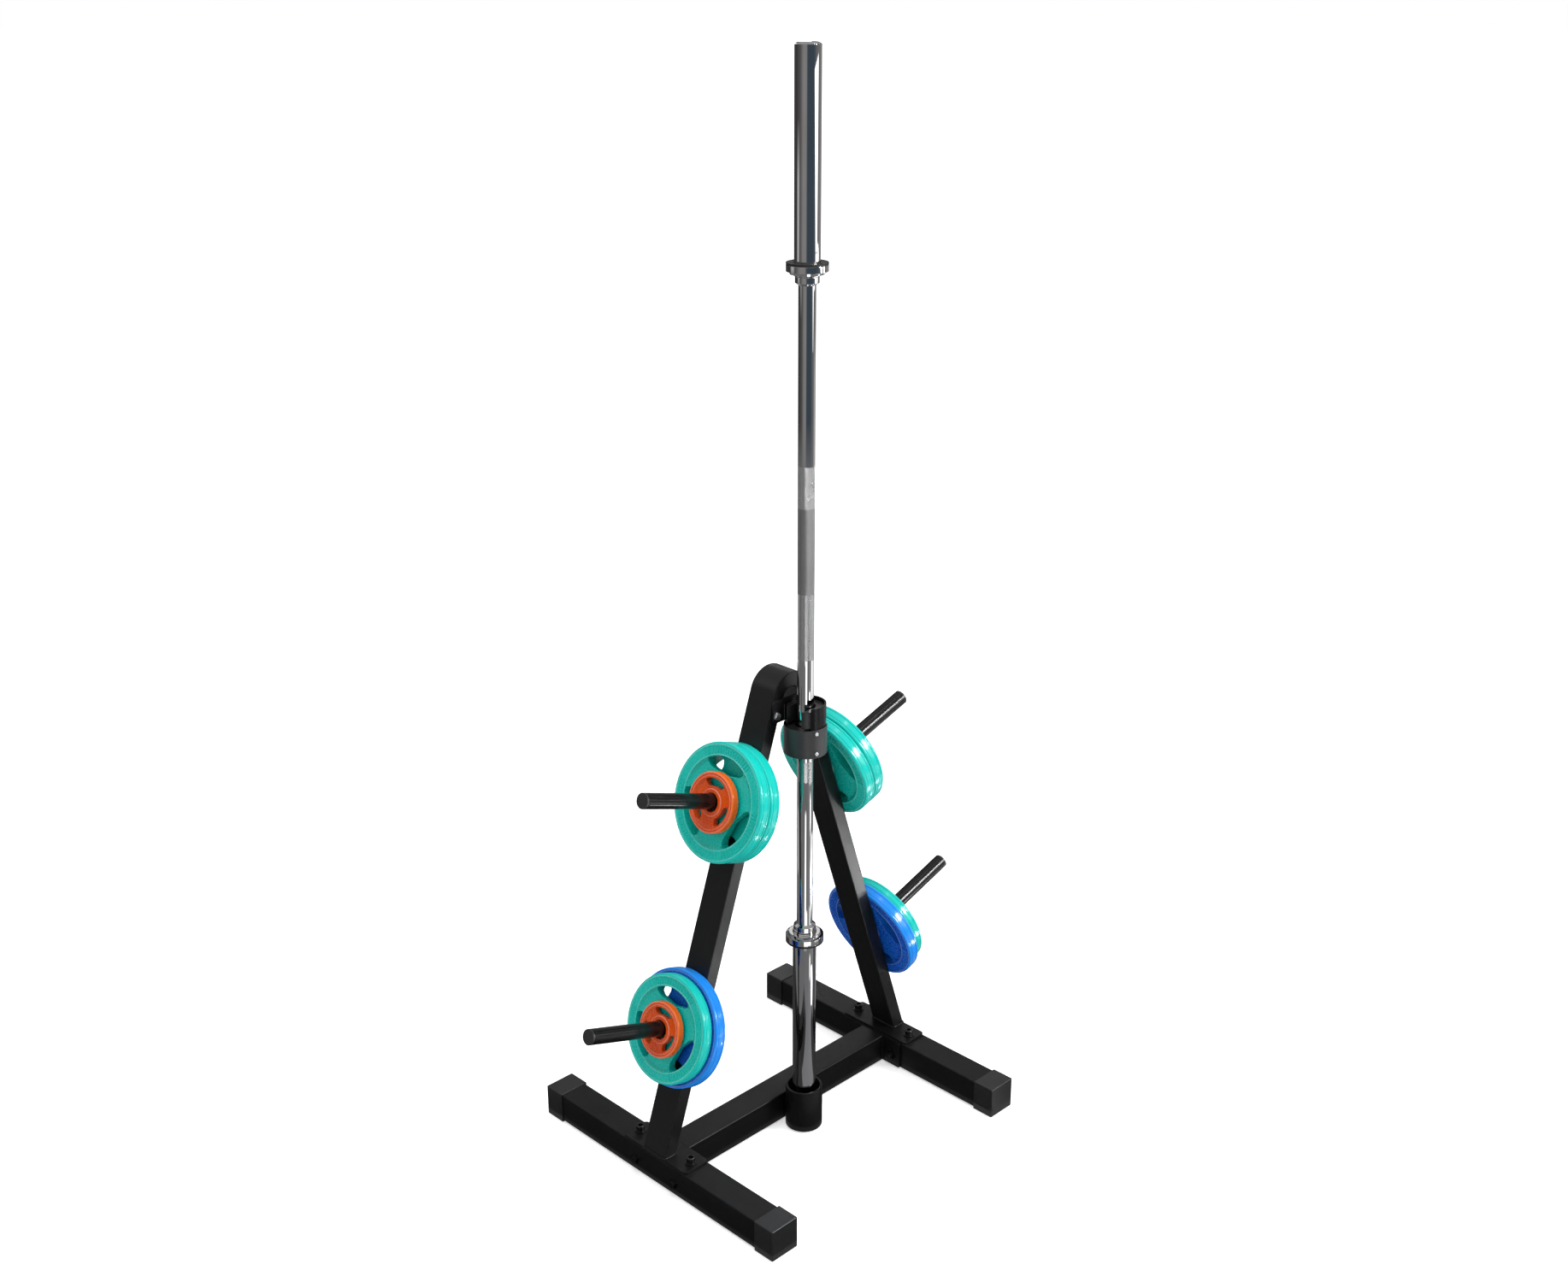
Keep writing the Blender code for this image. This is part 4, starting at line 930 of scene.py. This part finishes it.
def plate_mesh(name, kind):
    """A three-grip plate lying on Z = 0: rows of vertices that follow the hub, the windows and the rim."""
    radius, thick, _, _, _, ribs = KINDS[kind]
    turn_steps = 3 * (56 if radius < SMALL else 72)
    turns = [tau * step / turn_steps for step in range(turn_steps)]
    columns = [plate_column(kind, (turn + pi / 3) % (tau / 3) - pi / 3) for turn in turns]
    bm = bmesh.new()

    def rings_of(part, sign):
        """Rings of vertices on one face: of its inner rows (part 0) or its outer ones (part 1)."""
        rings = []
        for index in range(len(columns[0][part])):
            ring = []
            for turn, column in zip(turns, columns):
                r, z = column[part][index]
                ring.append(bm.verts.new((r * cos(turn), r * sin(turn), thick / 2 + sign * z)))
            rings.append(ring)
        return rings

    rings = {}
    for sign in (1, -1):
        for part in (0, 1):
            rings[sign, part] = rings_of(part, sign)
        for part in (0, 1):
            skin_rings(bm, rings[sign, part])
        # the two sets meet on the spokes
        last, first = rings[sign, 0][-1], rings[sign, 1][0]
        for i in range(turn_steps):
            j = (i + 1) % turn_steps
            if not columns[i][2] and not columns[j][2]:
                bm.faces.new([last[i], last[j], first[j], first[i]])
    # bore, and the windows' walls
    skin_rings(bm, [rings[1, 0][0], rings[-1, 0][0]])
    for i in range(turn_steps):
        j = (i + 1) % turn_steps
        if columns[i][2] or columns[j][2]:
            for part, index in ((0, -1), (1, 0)):
                a, b = rings[1, part][index], rings[-1, part][index]
                bm.faces.new([a[i], a[j], b[j], b[i]])
    bmesh.ops.remove_doubles(bm, verts=bm.verts, dist=0.00003)
    bmesh.ops.recalc_face_normals(bm, faces=bm.faces)
    mesh = finish_mesh(name, bm, 38)
    return joined(name, [(mesh, AS_IS)] + plate_ribs(kind), 38) if ribs else mesh


def plate_ribs(kind):
    """The short ribs on the rim beside each window, on both faces, each with its matrix."""
    radius, thick, _, outer, _, count = KINDS[kind]
    length = radius * (0.918 - outer - 0.034)
    half = length / 2
    outline = [(-half, -0.0011), (half, -0.0014), (half, 0.0014), (-half, 0.0011)]
    rib = slab("rib", fillet(outline, 0.0009, 3, True), 0, 0.0015, 0.0006)
    middle = radius * (outer + 0.034) + half
    upper = Matrix.Translation((middle, 0, thick - 0.0014))
    lower = Matrix.Translation((middle, 0, 0.0014)) @ Matrix.Rotation(pi, 4, "X")
    placed = []
    for window in range(3):
        for index in range(count):
            angle = window * tau / 3 + radians(34.5) * (2 * index / (count - 1) - 1)
            turn = Matrix.Rotation(angle, 4, "Z")
            placed += [(rib, turn @ upper), (rib, turn @ lower)]
    return placed


def make_pegs_and_plates():
    """Pegs, caps, their welds and the plates on them."""
    meshes = {kind: plate_mesh(kind + "_plate", kind) for kind in KINDS}
    radius = PEG_D / 2
    tip = PEG_LENGTH - PEG_CAP
    tube = lathe("peg_tube", [(radius - PEG_WALL, tip - FIT), (radius, tip - FIT), (radius, FIT),
                              (radius - PEG_WALL, FIT)], 64, True, 0.0005)
    end = PEG_LENGTH - PEG_CAP_BACK
    cap = lathe("peg_cap", [(0, end), (radius - 0.0004, end), (radius, end - 0.0004), (radius, tip),
                            (radius - 0.0012, tip - 0.0001), (0, tip - 0.0001)], 64, False, 0.0013)
    drop = (PLATE_BORE - PEG_D) / 2 - FIT
    for place, stack in STACKS.items():
        side = -1 if place.endswith("left") else 1
        root = peg_frame(side, UPPER_PEG if place.startswith("upper") else LOWER_PEG)
        put(place + "_peg_tube", tube, "peg_coat", place + "_peg", root)
        put(place + "_peg_plug", cap, "black_plastic", place + "_peg_cap", root)
        seam = [root @ Vector((x, y, 0.0001)) for x, y in arc(radius + 0.0004, 0, tau, 24)[:-1]]
        weld(place + "_peg_weld", seam, 0.0014)
        reach = FIT
        for index, (kind, tone) in enumerate(stack):
            turn = Matrix.Rotation(INNER_TURN if index == 0 else 0.0, 4, "Z")
            seat = root @ Matrix.Translation((-drop, 0, reach)) @ turn
            node = f"{place}_{PLACES[index]}_plate"
            key = f"{kind}_{tone}"
            if key not in looks:
                looks[key] = enamel(key + "_enamel", *TONES[tone], KINDS[kind][0])
            put(node + "_casting", meshes[kind], key, node, seat, node.replace("_plate", "_disc"))
            reach += KINDS[kind][1] + FIT


# Cup and barbell

# The shaft's lengths: their upper ends from the floor, and the material of each
SHAFT_LOOKS = ["chrome", "knurl", "knurl_worn", "knurl_bright"]
SHAFT_LENGTHS = ((0.8300, 0), (0.8740, 3), (1.0960, 0), (1.2340, 3), (1.4090, 2), (1.4920, 1))


def make_cup():
    """The cup on the crossbar, with its welds."""
    outer = CUP_D / 2
    inner = outer - CUP_WALL
    profile = [(0, BAR_REST), (inner, BAR_REST), (inner, CUP_TOP), (outer, CUP_TOP), (outer, CUP_BOTTOM),
               (inner, CUP_BOTTOM), (inner, BAR_REST - CUP_SEAT), (0, BAR_REST - CUP_SEAT)]
    put("bar_cup_body", lathe("bar_cup_body", profile, FINE, False, 0.0016), "powder_coat", "bar_cup",
        Matrix.Translation((0, BAR_Y, 0)))
    for side, word in SIDES:
        weld(f"cup_{word}_weld", upright(side * 0.0105, -TUBE / 2 - 0.0002, 0.0075, 17), 0.0017, closed=False)


def bar_profiles():
    """Profiles of one bar end, heights from the bar's tip."""
    tube_r = SLEEVE_D / 2
    flange_r = FLANGE_D / 2
    face = SLEEVE_SHOWN
    flange_end = face + FLANGE_THICK
    hub_end = flange_end + HUB
    ring_end = face + FLANGE_RING
    bore = SLEEVE_BORE / 2
    return {
        "sleeve": [(bore, hub_end), (tube_r, hub_end), (tube_r, 0.0043), (bore, 0.0043)],
        "flange_ring": [(tube_r + FIT, ring_end), (flange_r, ring_end), (flange_r, face),
                        (tube_r + FIT, face)],
        "flange": [(tube_r + FIT, flange_end), (flange_r - 0.0072, flange_end),
                   (flange_r - 0.0060, flange_end - 0.0050), (flange_r, flange_end - 0.0056),
                   (flange_r, ring_end + FIT), (tube_r + FIT, ring_end + FIT)],
    }


def end_cap_profile():
    """The plug in a sleeve's end: a low dome with a flat rim, height from the bar's tip."""
    radius = SLEEVE_D / 2 - 0.0005
    points = [(0, END_CAP_DEPTH), (END_CAP_PLUG, END_CAP_DEPTH), (END_CAP_PLUG, END_CAP_DOME + 0.0001)]
    steps = 12
    for step in range(steps + 1):
        r = radius * sqrt(1 - step / steps)
        points.append((r, END_CAP_DOME * (r / radius) ** 5))
    return points


def shaft_mesh():
    """The shaft with its shoulders, and one material for each length of it."""
    radius = SHAFT_D / 2
    neck = SLEEVE_SHOWN + FLANGE_THICK + HUB + 0.0007
    neck_end = neck + SHOULDER_LENGTH
    low = [(0, 0.018), (radius, 0.018), (radius, neck), (SHOULDER_RADIUS, neck),
           (SHOULDER_RADIUS, neck_end - 0.0036), (radius + 0.0012, neck_end - 0.0002),
           (radius, neck_end + 0.0006)]
    high = [(r, BAR_LENGTH - z) for r, z in reversed(low)]
    lengths = [(top - BAR_BOTTOM, index) for top, index in SHAFT_LENGTHS]
    lines = []
    for z, _ in lengths:
        lines += [(radius, z - 0.0007), (radius - 0.0002, z - 0.0003), (radius - 0.0002, z + 0.0003),
                  (radius, z + 0.0007)]
    bm = bmesh.new()
    profile = fillet(low, 0.0006, 3) + lines + fillet(high, 0.0006, 3)
    skin_rings(bm, [round_ring(bm, r, z, FINE) for r, z in profile])
    mesh = finish_mesh("shaft", bm)
    for face in mesh.polygons:
        face.material_index = next((index for top, index in lengths if face.center.z < top), 0)
    return mesh


def make_bar():
    """The shaft and what is on its ends."""
    axis = Matrix.Translation((0, BAR_Y, BAR_BOTTOM))
    put("bar_shaft_body", shaft_mesh(), SHAFT_LOOKS, "bar_shaft", axis, "barbell")
    flip = Matrix.Translation((0, 0, BAR_LENGTH)) @ Matrix.Rotation(pi, 4, "X")
    shared = {key: lathe(key, profile, FINE, True, 0.0005) for key, profile in bar_profiles().items()}
    shared["end_cap"] = lathe("end_cap", end_cap_profile(), FINE, False, 0.0003)
    finishes = {"sleeve": "chrome_sleeve", "flange": "chrome", "flange_ring": "black_rubber",
                "end_cap": "chrome_sleeve"}
    for word, end in (("lower", AS_IS), ("upper", flip)):
        for key, look in finishes.items():
            put(f"{word}_{key}_body", shared[key], look, f"{word}_{key}", axis @ end, word + "_bar_end")


# Holder

def ring_sector(name, outer, inner, low, high, start, end, edge=0.0005, steps=72):
    """Part of a ring between two angles from +X, standing between two heights."""
    return slab(name, arc(outer, start, end, steps) + arc(inner, end, start, steps), low, high, edge)


def slotted_ring(name, outer, low, high):
    """A thick C with a straight slot towards +X, as wide as its bore, and eased edges."""
    edge = asin(INSERT_BORE / outer)
    outline = arc(outer, edge, tau - edge, 64) + arc(INSERT_BORE, -pi / 2, -3 * pi / 2, 32)
    return slab(name, outline, low, high, 0.0012)


def make_holder():
    """The slotted tube, its bolted plate, and the lock that turns round it."""
    at_bar = Matrix.Translation((0, BAR_Y, 0))
    outer = HOLDER_D / 2
    inner = outer - HOLDER_WALL
    tube = ring_sector("holder_tube", outer, inner, HOLDER_BOTTOM, HOLDER_TOP, -HOLDER_TURN, HOLDER_TURN)
    notches = []
    for height, _ in SCREW_HEIGHTS:
        for middle, width in NOTCHES:
            outline = rounded_rectangle(NOTCH_REACH, 2 * outer * sin(width / 2), 0.002, 4)
            notch = slab("notch", outline, -NOTCH_HALF, NOTCH_HALF, 0)
            place = Vector((cos(middle), sin(middle), 0)) * (outer - NOTCH_INSET) + Vector((0, 0, height))
            notches.append((notch, Matrix.Translation(place) @ Matrix.Rotation(middle, 4, "Z")))
    put("holder_tube_body", cut_away(tube, notches, "holder_tube_cut"), "holder_coat", "holder_tube", at_bar)
    make_bracket(outer)

    band_in = outer + FIT
    band_out = band_in + BAND_THICK
    band = ring_sector("lock_band", band_out, band_in, BAND_LOW, BAND_HIGH, BAND_GAP, tau - BAND_GAP,
                       0.0006, 120)
    put("lock_band", band, "band", "lock_collar", at_bar, "bar_lock")
    insert = slotted_ring("lock_insert", inner - FIT, HOLDER_BOTTOM, INSERT_TOP)
    put("lock_insert", insert, "black_nylon", "lock_rotor", at_bar, "bar_lock")
    liner = slotted_ring("holder_liner", inner - FIT, LINER_LOW, LINER_HIGH)
    put("holder_liner", liner, "black_nylon", None, at_bar @ Matrix.Rotation(pi, 4, "Z"))
    socket = slab("dimple", hex_points(SCREW_SOCKET), SCREW_SOCKET_BOTTOM, 0.004, 0)
    screw = cut_away(lathe("collar_screw", SCREW_PROFILE, 40, False, 0.0006), [(socket, AS_IS)],
                     "collar_screw_cut")
    way = Vector((-sin(SCREW_TURN), -cos(SCREW_TURN), 0))
    for height, word in SCREW_HEIGHTS:
        place = Vector((0, BAR_Y, height)) + way * (band_out + FIT)
        put(word + "_collar_screw_head", screw, "zinc", word + "_collar_screw", along(way, place), "bar_lock")


def make_bracket(outer):
    """The plate that carries the holder tube, its welds and its two bolts."""
    height = BRACKET_HIGH - BRACKET_LOW
    half = BRACKET_PLATE / 2
    outline = rounded_rectangle(BRACKET_WIDTH, height, BRACKET_CORNER, 8)
    plate = slab("holder_plate", outline, -half, half, 0.0007)
    middle = Matrix.Translation((0, BRACKET_FACE + half, BRACKET_LOW + height / 2))
    stand_up = middle @ Matrix.Rotation(pi / 2, 4, "X")
    seat = disc("seat", outer + FIT, BRACKET_LOW - 0.019, HOLDER_TOP + FIT, FINE, 0.0)
    seat_place = stand_up.inverted() @ Matrix.Translation((0, BAR_Y, 0))
    plate = cut_away(plate, [(seat, seat_place)], "holder_plate_cut")
    put("holder_plate", plate, "powder_coat", "holder_bracket", stand_up)
    y = BRACKET_FACE - 0.0002
    x = sqrt((outer + 0.0004) ** 2 - (y - BAR_Y) ** 2)
    for side, word in SIDES:
        weld(f"holder_{word}_weld", upright(side * x, y, 0.9600, 11), 0.0016, closed=False)
    hexagon = fillet(hex_points(BRACKET_HEX), BRACKET_HEX_CORNER, 2, True)
    head = slab("bracket_hex", hexagon, BRACKET_WASHER - 0.0001, BRACKET_HEAD, 0.0009)
    washer = disc("bracket_washer", BRACKET_WASHER_RADIUS, 0, BRACKET_WASHER, 40)
    head = joined("bracket_head", [(head, AS_IS), (washer, AS_IS)])
    for side, word in SIDES:
        place = (side * BRACKET_BOLT[0], BRACKET_FACE - FIT, BRACKET_BOLT[1])
        put(word + "_bracket_bolt_head", head, "zinc", word + "_bracket_bolt", along((0, -1, 0), place))


# Studio

FLOOR_GLOW = 0.45
WORLD_FILL = 0.55
WALL_RADIUS = 4.2
WALL_HEIGHT = 4.4


def patch(start, end, far, near):
    """Corners of a card between two directions, and between two heights or distances."""
    return (start, far), (end, far), (end, near), (start, near)


# The cards: what the glossy surfaces mirror, and nothing else sees. Corners are (degrees, height) on the
# wall, (degrees, distance) on the cloth and under the ceiling, (x, y) on a sheet of painted shadow, all from
# the bar's foot. A brightness and the share of the card that fades out at its edges follow.
# A later card covers an earlier one.
CARDS = (
    ("window", "wall", ((280, 1.99), (320, 2.05), (314, 1.27), (297, 1.27)), 2.6, 0.01),
    ("window_foot", "wall", ((297, 1.27), (314, 1.27), (308, 0.86), (305, 0.86)), 2.6, 0.01),
    ("window_high", "wall", patch(291, 302, 3.70, 2.12), 60.0, 0.20),
    ("upper_band", "wall", patch(84, 285, 4.4, 2.5), 0.9, 0.10),
    ("back_wall", "wall", patch(8, 82, 4.4, 2.1), 0.16, 0.15),
    ("back_lamp", "wall", patch(39, 55, 2.62, 2.30), 9.0, 0.30),
    ("flange_light", "wall", patch(42.0, 46.6, 2.94, 2.74), 1.0, 0.12),
    ("right_low", "wall", patch(320, 388, 0.98, 0.05), 0.55, 0.25),
    ("left_low", "wall", patch(122, 154, 1.80, 1.00), 0.60, 0.30),
    ("edge_left", "floor", patch(58, 116, 4.0, 2.6), 0.95, 0.15),
    ("near_streak", "floor", ((223, 1.60), (243, 1.60), (246, 0.78), (220, 0.78)), 1.9, 0.05),
    ("near_streak_far", "floor", ((223, 3.4), (248, 3.4), (246, 1.80), (223, 1.80)), 2.2, 0.05),
    ("near_blob", "floor", ((229, 3.60), (232, 3.60), (246, 2.78), (212, 2.78)), 3.2, 0.12),
    ("left_streak", "floor", ((110, 1.62), (118, 1.62), (120, 1.16), (106, 1.16)), 1.2, 0.12),
    ("far_left", "floor", ((165, 3.45), (194, 3.45), (192, 2.95), (168, 2.95)), 1.2, 0.20),
    ("side_streak", "floor", ((244, 0.98), (262, 0.98), (264, 0.80), (244, 0.80)), 2.4, 0.15),
    ("front_low", "floor", patch(284, 316, 1.00, 0.84), 1.1, 0.15),
    ("front_cross", "floor", patch(279, 326, 2.10, 1.76), 1.6, 0.12),
    ("right_cross", "floor", patch(302, 372, 1.44, 1.12), 1.4, 0.10),
    ("right_far", "floor", patch(320, 372, 3.4, 2.3), 1.2, 0.20),
    ("patch_corner", "floor", ((270, 0.76), (286, 0.76), (284, 0.62), (270, 0.62)), 1.6, 0.20),
    ("patch_near", "floor", patch(290, 306, 0.70, 0.50), 30.0, 0.45),
    ("patch_middle", "floor", ((304, 1.28), (315, 1.28), (316, 1.06), (304, 1.06)), 4.5, 0.40),
    ("patch_strip", "floor", ((301, 1.72), (306, 1.72), (307, 1.40), (301, 1.40)), 16.0, 0.35),
    ("patch_right", "floor", ((314, 1.38), (340, 1.30), (340, 0.90), (316, 0.90)), 5.0, 0.40),
    ("patch_bright", "floor", ((319, 1.20), (333, 1.18), (333, 0.96), (319, 0.96)), 55.0, 0.40),
    ("patch_wall", "wall", patch(321, 329, 1.32, 1.12), 16.0, 0.25),
    ("patch_side", "floor", patch(353, 361, 1.10, 1.00), 8.0, 0.25),
    ("dark_right", "floor", ((316, 0.92), (350, 0.92), (354, 0.42), (316, 0.42)), 0.09, 0.15),
    # Painted shadow: dark sheets for the floor shaded by the rack, next to the feet and the crossbar, as the
    # glossy surfaces mirror it.
    ("dark_left", "mat", patch(-0.47, -0.20, 0.55, -0.45), 0.04, 0.10),
    ("dark_behind", "mat", patch(-0.45, 0.40, 0.95, 0.04), 0.05, 0.10),
    ("dark_before", "mat", patch(-0.34, 0.34, 0.06, -0.10), 0.05, 0.10),
    ("dark_inside", "mat", patch(0.15, 0.32, -0.02, -0.42), 0.05, 0.10),
    ("arch_light", "floor", patch(304, 328, 3.4, 2.3), 2.0, 0.20),
    ("screw_light", "floor", patch(275, 293, 2.52, 2.24), 7.5, 0.15),
    ("top_lamp", "ceiling", patch(316, 338, 1.22, 0.98), 14.0, 0.20),
)
# Degrees round the wall and the brightness there
WALL_TONES = ((0, 0.32), (10, 0.40), (28, 0.36), (60, 0.10), (84, 0.062), (116, 0.055), (134, 0.085),
              (158, 0.12), (172, 0.21), (186, 0.31), (212, 0.30), (219, 0.11), (228, 0.085), (268, 0.085),
              (278, 0.10), (308, 0.20), (320, 0.22), (338, 0.24), (360, 0.32))


def make_floor():
    """A pale floor that keeps the shadow; the camera sees it turn to white away from the rack."""
    mesh = bpy.data.meshes.new("floor")
    reach = 60.0
    corners = [(-reach, -reach, 0), (reach, -reach, 0), (reach, reach, 0), (-reach, reach, 0)]
    mesh.from_pydata(corners, [], [(0, 1, 2, 3)])
    floor = add_item("studio_floor", mesh)
    floor.location.z = -0.0002
    look = Look("studio_floor", (0.80, 0.80, 0.80), 0.9, shine=0.0)
    away = look.node("ShaderNodeVectorMath", {0: look.coords}, operation="LENGTH").outputs["Value"]
    strength = look.times(look.open_ray(), look.ramp(away, 1.0, 4.5, FLOOR_GLOW, 1.0))
    shine = look.node("ShaderNodeEmission", {"Color": (1, 1, 1, 1), "Strength": strength})
    total = look.node("ShaderNodeAddShader", {0: look.shader.outputs[0], 1: shine.outputs[0]})
    mesh.materials.append(look.surface(total.outputs[0]))


def glossy_only(item):
    """A thing of the studio that only shows in glossy surfaces."""
    for kind in ("camera", "diffuse", "transmission", "volume_scatter", "shadow"):
        setattr(item, "visible_" + kind, False)


def room_point(kind, first, second):
    """A point of the room round the bar's foot, from a card's corner values."""
    if kind == "mat":
        return (first, second, 0.0030)
    angle = radians(first)
    if kind == "wall":
        return (WALL_RADIUS * 0.99 * cos(angle), WALL_RADIUS * 0.99 * sin(angle), second)
    return (second * cos(angle), second * sin(angle), 0.0030 if kind == "floor" else WALL_HEIGHT - 0.02)


def card_mesh(name, kind, corners):
    """A curved sheet between four corners, with its shares across and down as UV."""
    columns, rows = 16, 4
    a, b, c, d = (Vector(corner) for corner in corners)
    shares = [(s / columns, t / rows) for t in range(rows + 1) for s in range(columns + 1)]
    points = [room_point(kind, *a.lerp(b, s).lerp(d.lerp(c, s), t)) for s, t in shares]
    starts = [row * (columns + 1) + column for row in range(rows) for column in range(columns)]
    mesh = bpy.data.meshes.new("card_" + name)
    mesh.from_pydata(points, [], [(i, i + 1, i + columns + 2, i + columns + 1) for i in starts])
    layer = mesh.uv_layers.new(name="share")
    for loop in mesh.loops:
        layer.data[loop.index].uv = shares[loop.vertex_index]
    return mesh


def make_card(index, name, kind, corners, brightness, soft):
    """One card: a sheet of light that fades out at its edges."""
    mesh = card_mesh(name, kind, corners)
    look = Look("card_" + name, (0, 0, 0), 1.0)
    parts = look.xyz(look.node("ShaderNodeTexCoord").outputs["UV"])
    rises = []
    for key in ("X", "Y"):
        edge = look.maths("MINIMUM", parts[key], look.maths("SUBTRACT", 1.0, parts[key]))
        rises.append(look.ramp(edge, 0.0, soft))
    shine = look.node("ShaderNodeEmission", {"Color": (1.0, 1.0, 1.0, 1.0), "Strength": brightness})
    clear = look.node("ShaderNodeBsdfTransparent")
    fade = look.times(*rises)
    blend = look.node("ShaderNodeMixShader", {0: fade, 1: clear.outputs[0], 2: shine.outputs[0]})
    mesh.materials.append(look.surface(blend.outputs[0]))
    item = add_item("studio_card_" + name, mesh)
    lift = {"wall": 0.0, "ceiling": -0.0020 * index}.get(kind, 0.0004 * index)
    item.location = (0, BAR_Y, lift)
    if kind == "wall":
        item.scale = (1 - 0.0005 * index, 1 - 0.0005 * index, 1)
    glossy_only(item)


def wall_tone(look, shine):
    """Greys by direction, down to the cloth's own grey at the foot of the wall."""
    parts = look.xyz()
    way = look.maths("ARCTAN2", parts["Y"], parts["X"])
    turn = look.maths("FRACT", look.plus(look.maths("DIVIDE", way, tau), 1.0))
    node = look.node("ShaderNodeValToRGB", {"Fac": turn})
    stops = node.color_ramp.elements
    while len(stops) < len(WALL_TONES):
        stops.new(0.5)
    for stop, (degrees, tone) in zip(stops, WALL_TONES):
        cool = 218 < degrees < 280
        stop.position = degrees / 360
        stop.color = (tone * (0.72 if cool else 1.03), tone, tone * (1.3 if cool else 0.98), 1)
    low = look.ramp(parts["Z"], 0.20, 0.55)
    look.link(look.mix(low, (0.26, 0.265, 0.27), node.outputs["Color"]), shine.inputs["Color"])


def cloth_tone(look, shine):
    """A grey cloth: darker to the left, with faint clouds."""
    side = look.ramp(look.xyz()["X"], -0.5, 0.6)
    look.link(look.mix(side, (0.215, 0.215, 0.22), (0.31, 0.315, 0.32)), shine.inputs["Color"])
    look.link(look.ramp(look.noise(1.6, 3.0), 0.3, 0.7, 0.9, 1.1), shine.inputs["Strength"])


def ceiling_tone(_, shine):
    """An even ceiling."""
    shine.inputs["Color"].default_value = (0.5, 0.5, 0.5, 1)


def make_room():
    """The wall, the cloth and the ceiling round the set, and the cards before them."""
    room = (("wall", [(WALL_RADIUS, WALL_HEIGHT), (WALL_RADIUS, 0.0)], wall_tone, 0.0),
            ("cloth", [(WALL_RADIUS, 0.0), (0.0, 0.0)], cloth_tone, 0.0004),
            ("ceiling", [(WALL_RADIUS, WALL_HEIGHT), (0.0, WALL_HEIGHT)], ceiling_tone, 0.0))
    for name, profile, tone, z in room:
        mesh = lathe("room_" + name, profile, FINE, False, 0.0)
        item = add_item("studio_" + name, mesh)
        item.location = (0, BAR_Y, z)
        look = Look("studio_" + name, (0, 0, 0), 1.0)
        shine = look.node("ShaderNodeEmission")
        tone(look, shine)
        mesh.materials.append(look.surface(shine.outputs[0]))
        glossy_only(item)
    for index, card in enumerate(CARDS):
        make_card(index, *card)


def add_panel(name, place, target, width, height, power):
    """A rectangular soft lamp, left out of the reflections, which come from the cards."""
    data = bpy.data.lights.new(name, "AREA")
    data.shape = "RECTANGLE"
    data.size = width
    data.size_y = height
    data.energy = power
    lamp = add_item(name, data)
    lamp.location = place
    lamp.rotation_euler = (Vector(target) - Vector(place)).to_track_quat("-Z", "Y").to_euler()
    lamp.visible_glossy = False


def make_light():
    """A tall window on the right, a wide panel overhead, a fill on the left and an even world."""
    add_panel("window_light", (1.75, -2.70, 1.90), (0.10, -0.10, 0.9), 1.05, 2.6, 120)
    add_panel("overhead", (0.2, -0.1, 4.1), (0, 0, 0), 3.4, 3.4, 150)
    add_panel("left_fill", (-3.2, -0.6, 2.2), (0, 0, 0.7), 1.6, 2.4, 26)
    world = bpy.data.worlds.new("studio")
    bpy.context.scene.world = world
    world.use_nodes = True
    wiring = Wiring(world.node_tree)
    back = wiring.tree.nodes["Background"]
    back.inputs["Color"].default_value = (1, 1, 1, 1)
    wiring.link(wiring.ramp(wiring.open_ray(), 0.0, 1.0, WORLD_FILL, 1.0), back.inputs["Strength"])


def make_camera():
    """The photograph's own view."""
    data = bpy.data.cameras.new("camera")
    data.lens = 42.39
    data.sensor_width = 36.0
    data.shift_x = -0.00053
    data.shift_y = -0.0015
    data.clip_end = 200.0
    camera = add_item("camera", data)
    camera.location = (-2.4611, -2.4752, 2.4192)
    camera.rotation_euler = Vector((0.6626, 0.6626, -0.3492)).to_track_quat("-Z", "Y").to_euler()
    bpy.context.scene.camera = camera


def dress_hidden_solids():
    """Materials for the solids inside the bar's ends, which show as they are."""
    for node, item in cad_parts.items():
        for word, look in (("bush", "bronze"), ("retaining_ring", "zinc")):
            if node.endswith(word):
                for slot in item.material_slots:
                    slot.material = looks[look]


make_camera()
make_base()
make_a_frame()
make_pegs_and_plates()
make_cup()
make_bar()
make_holder()
dress_hidden_solids()
make_floor()
make_room()
make_light()

scene = bpy.context.scene
scene.view_settings.view_transform = "Standard"
bpy.context.view_layer.update()
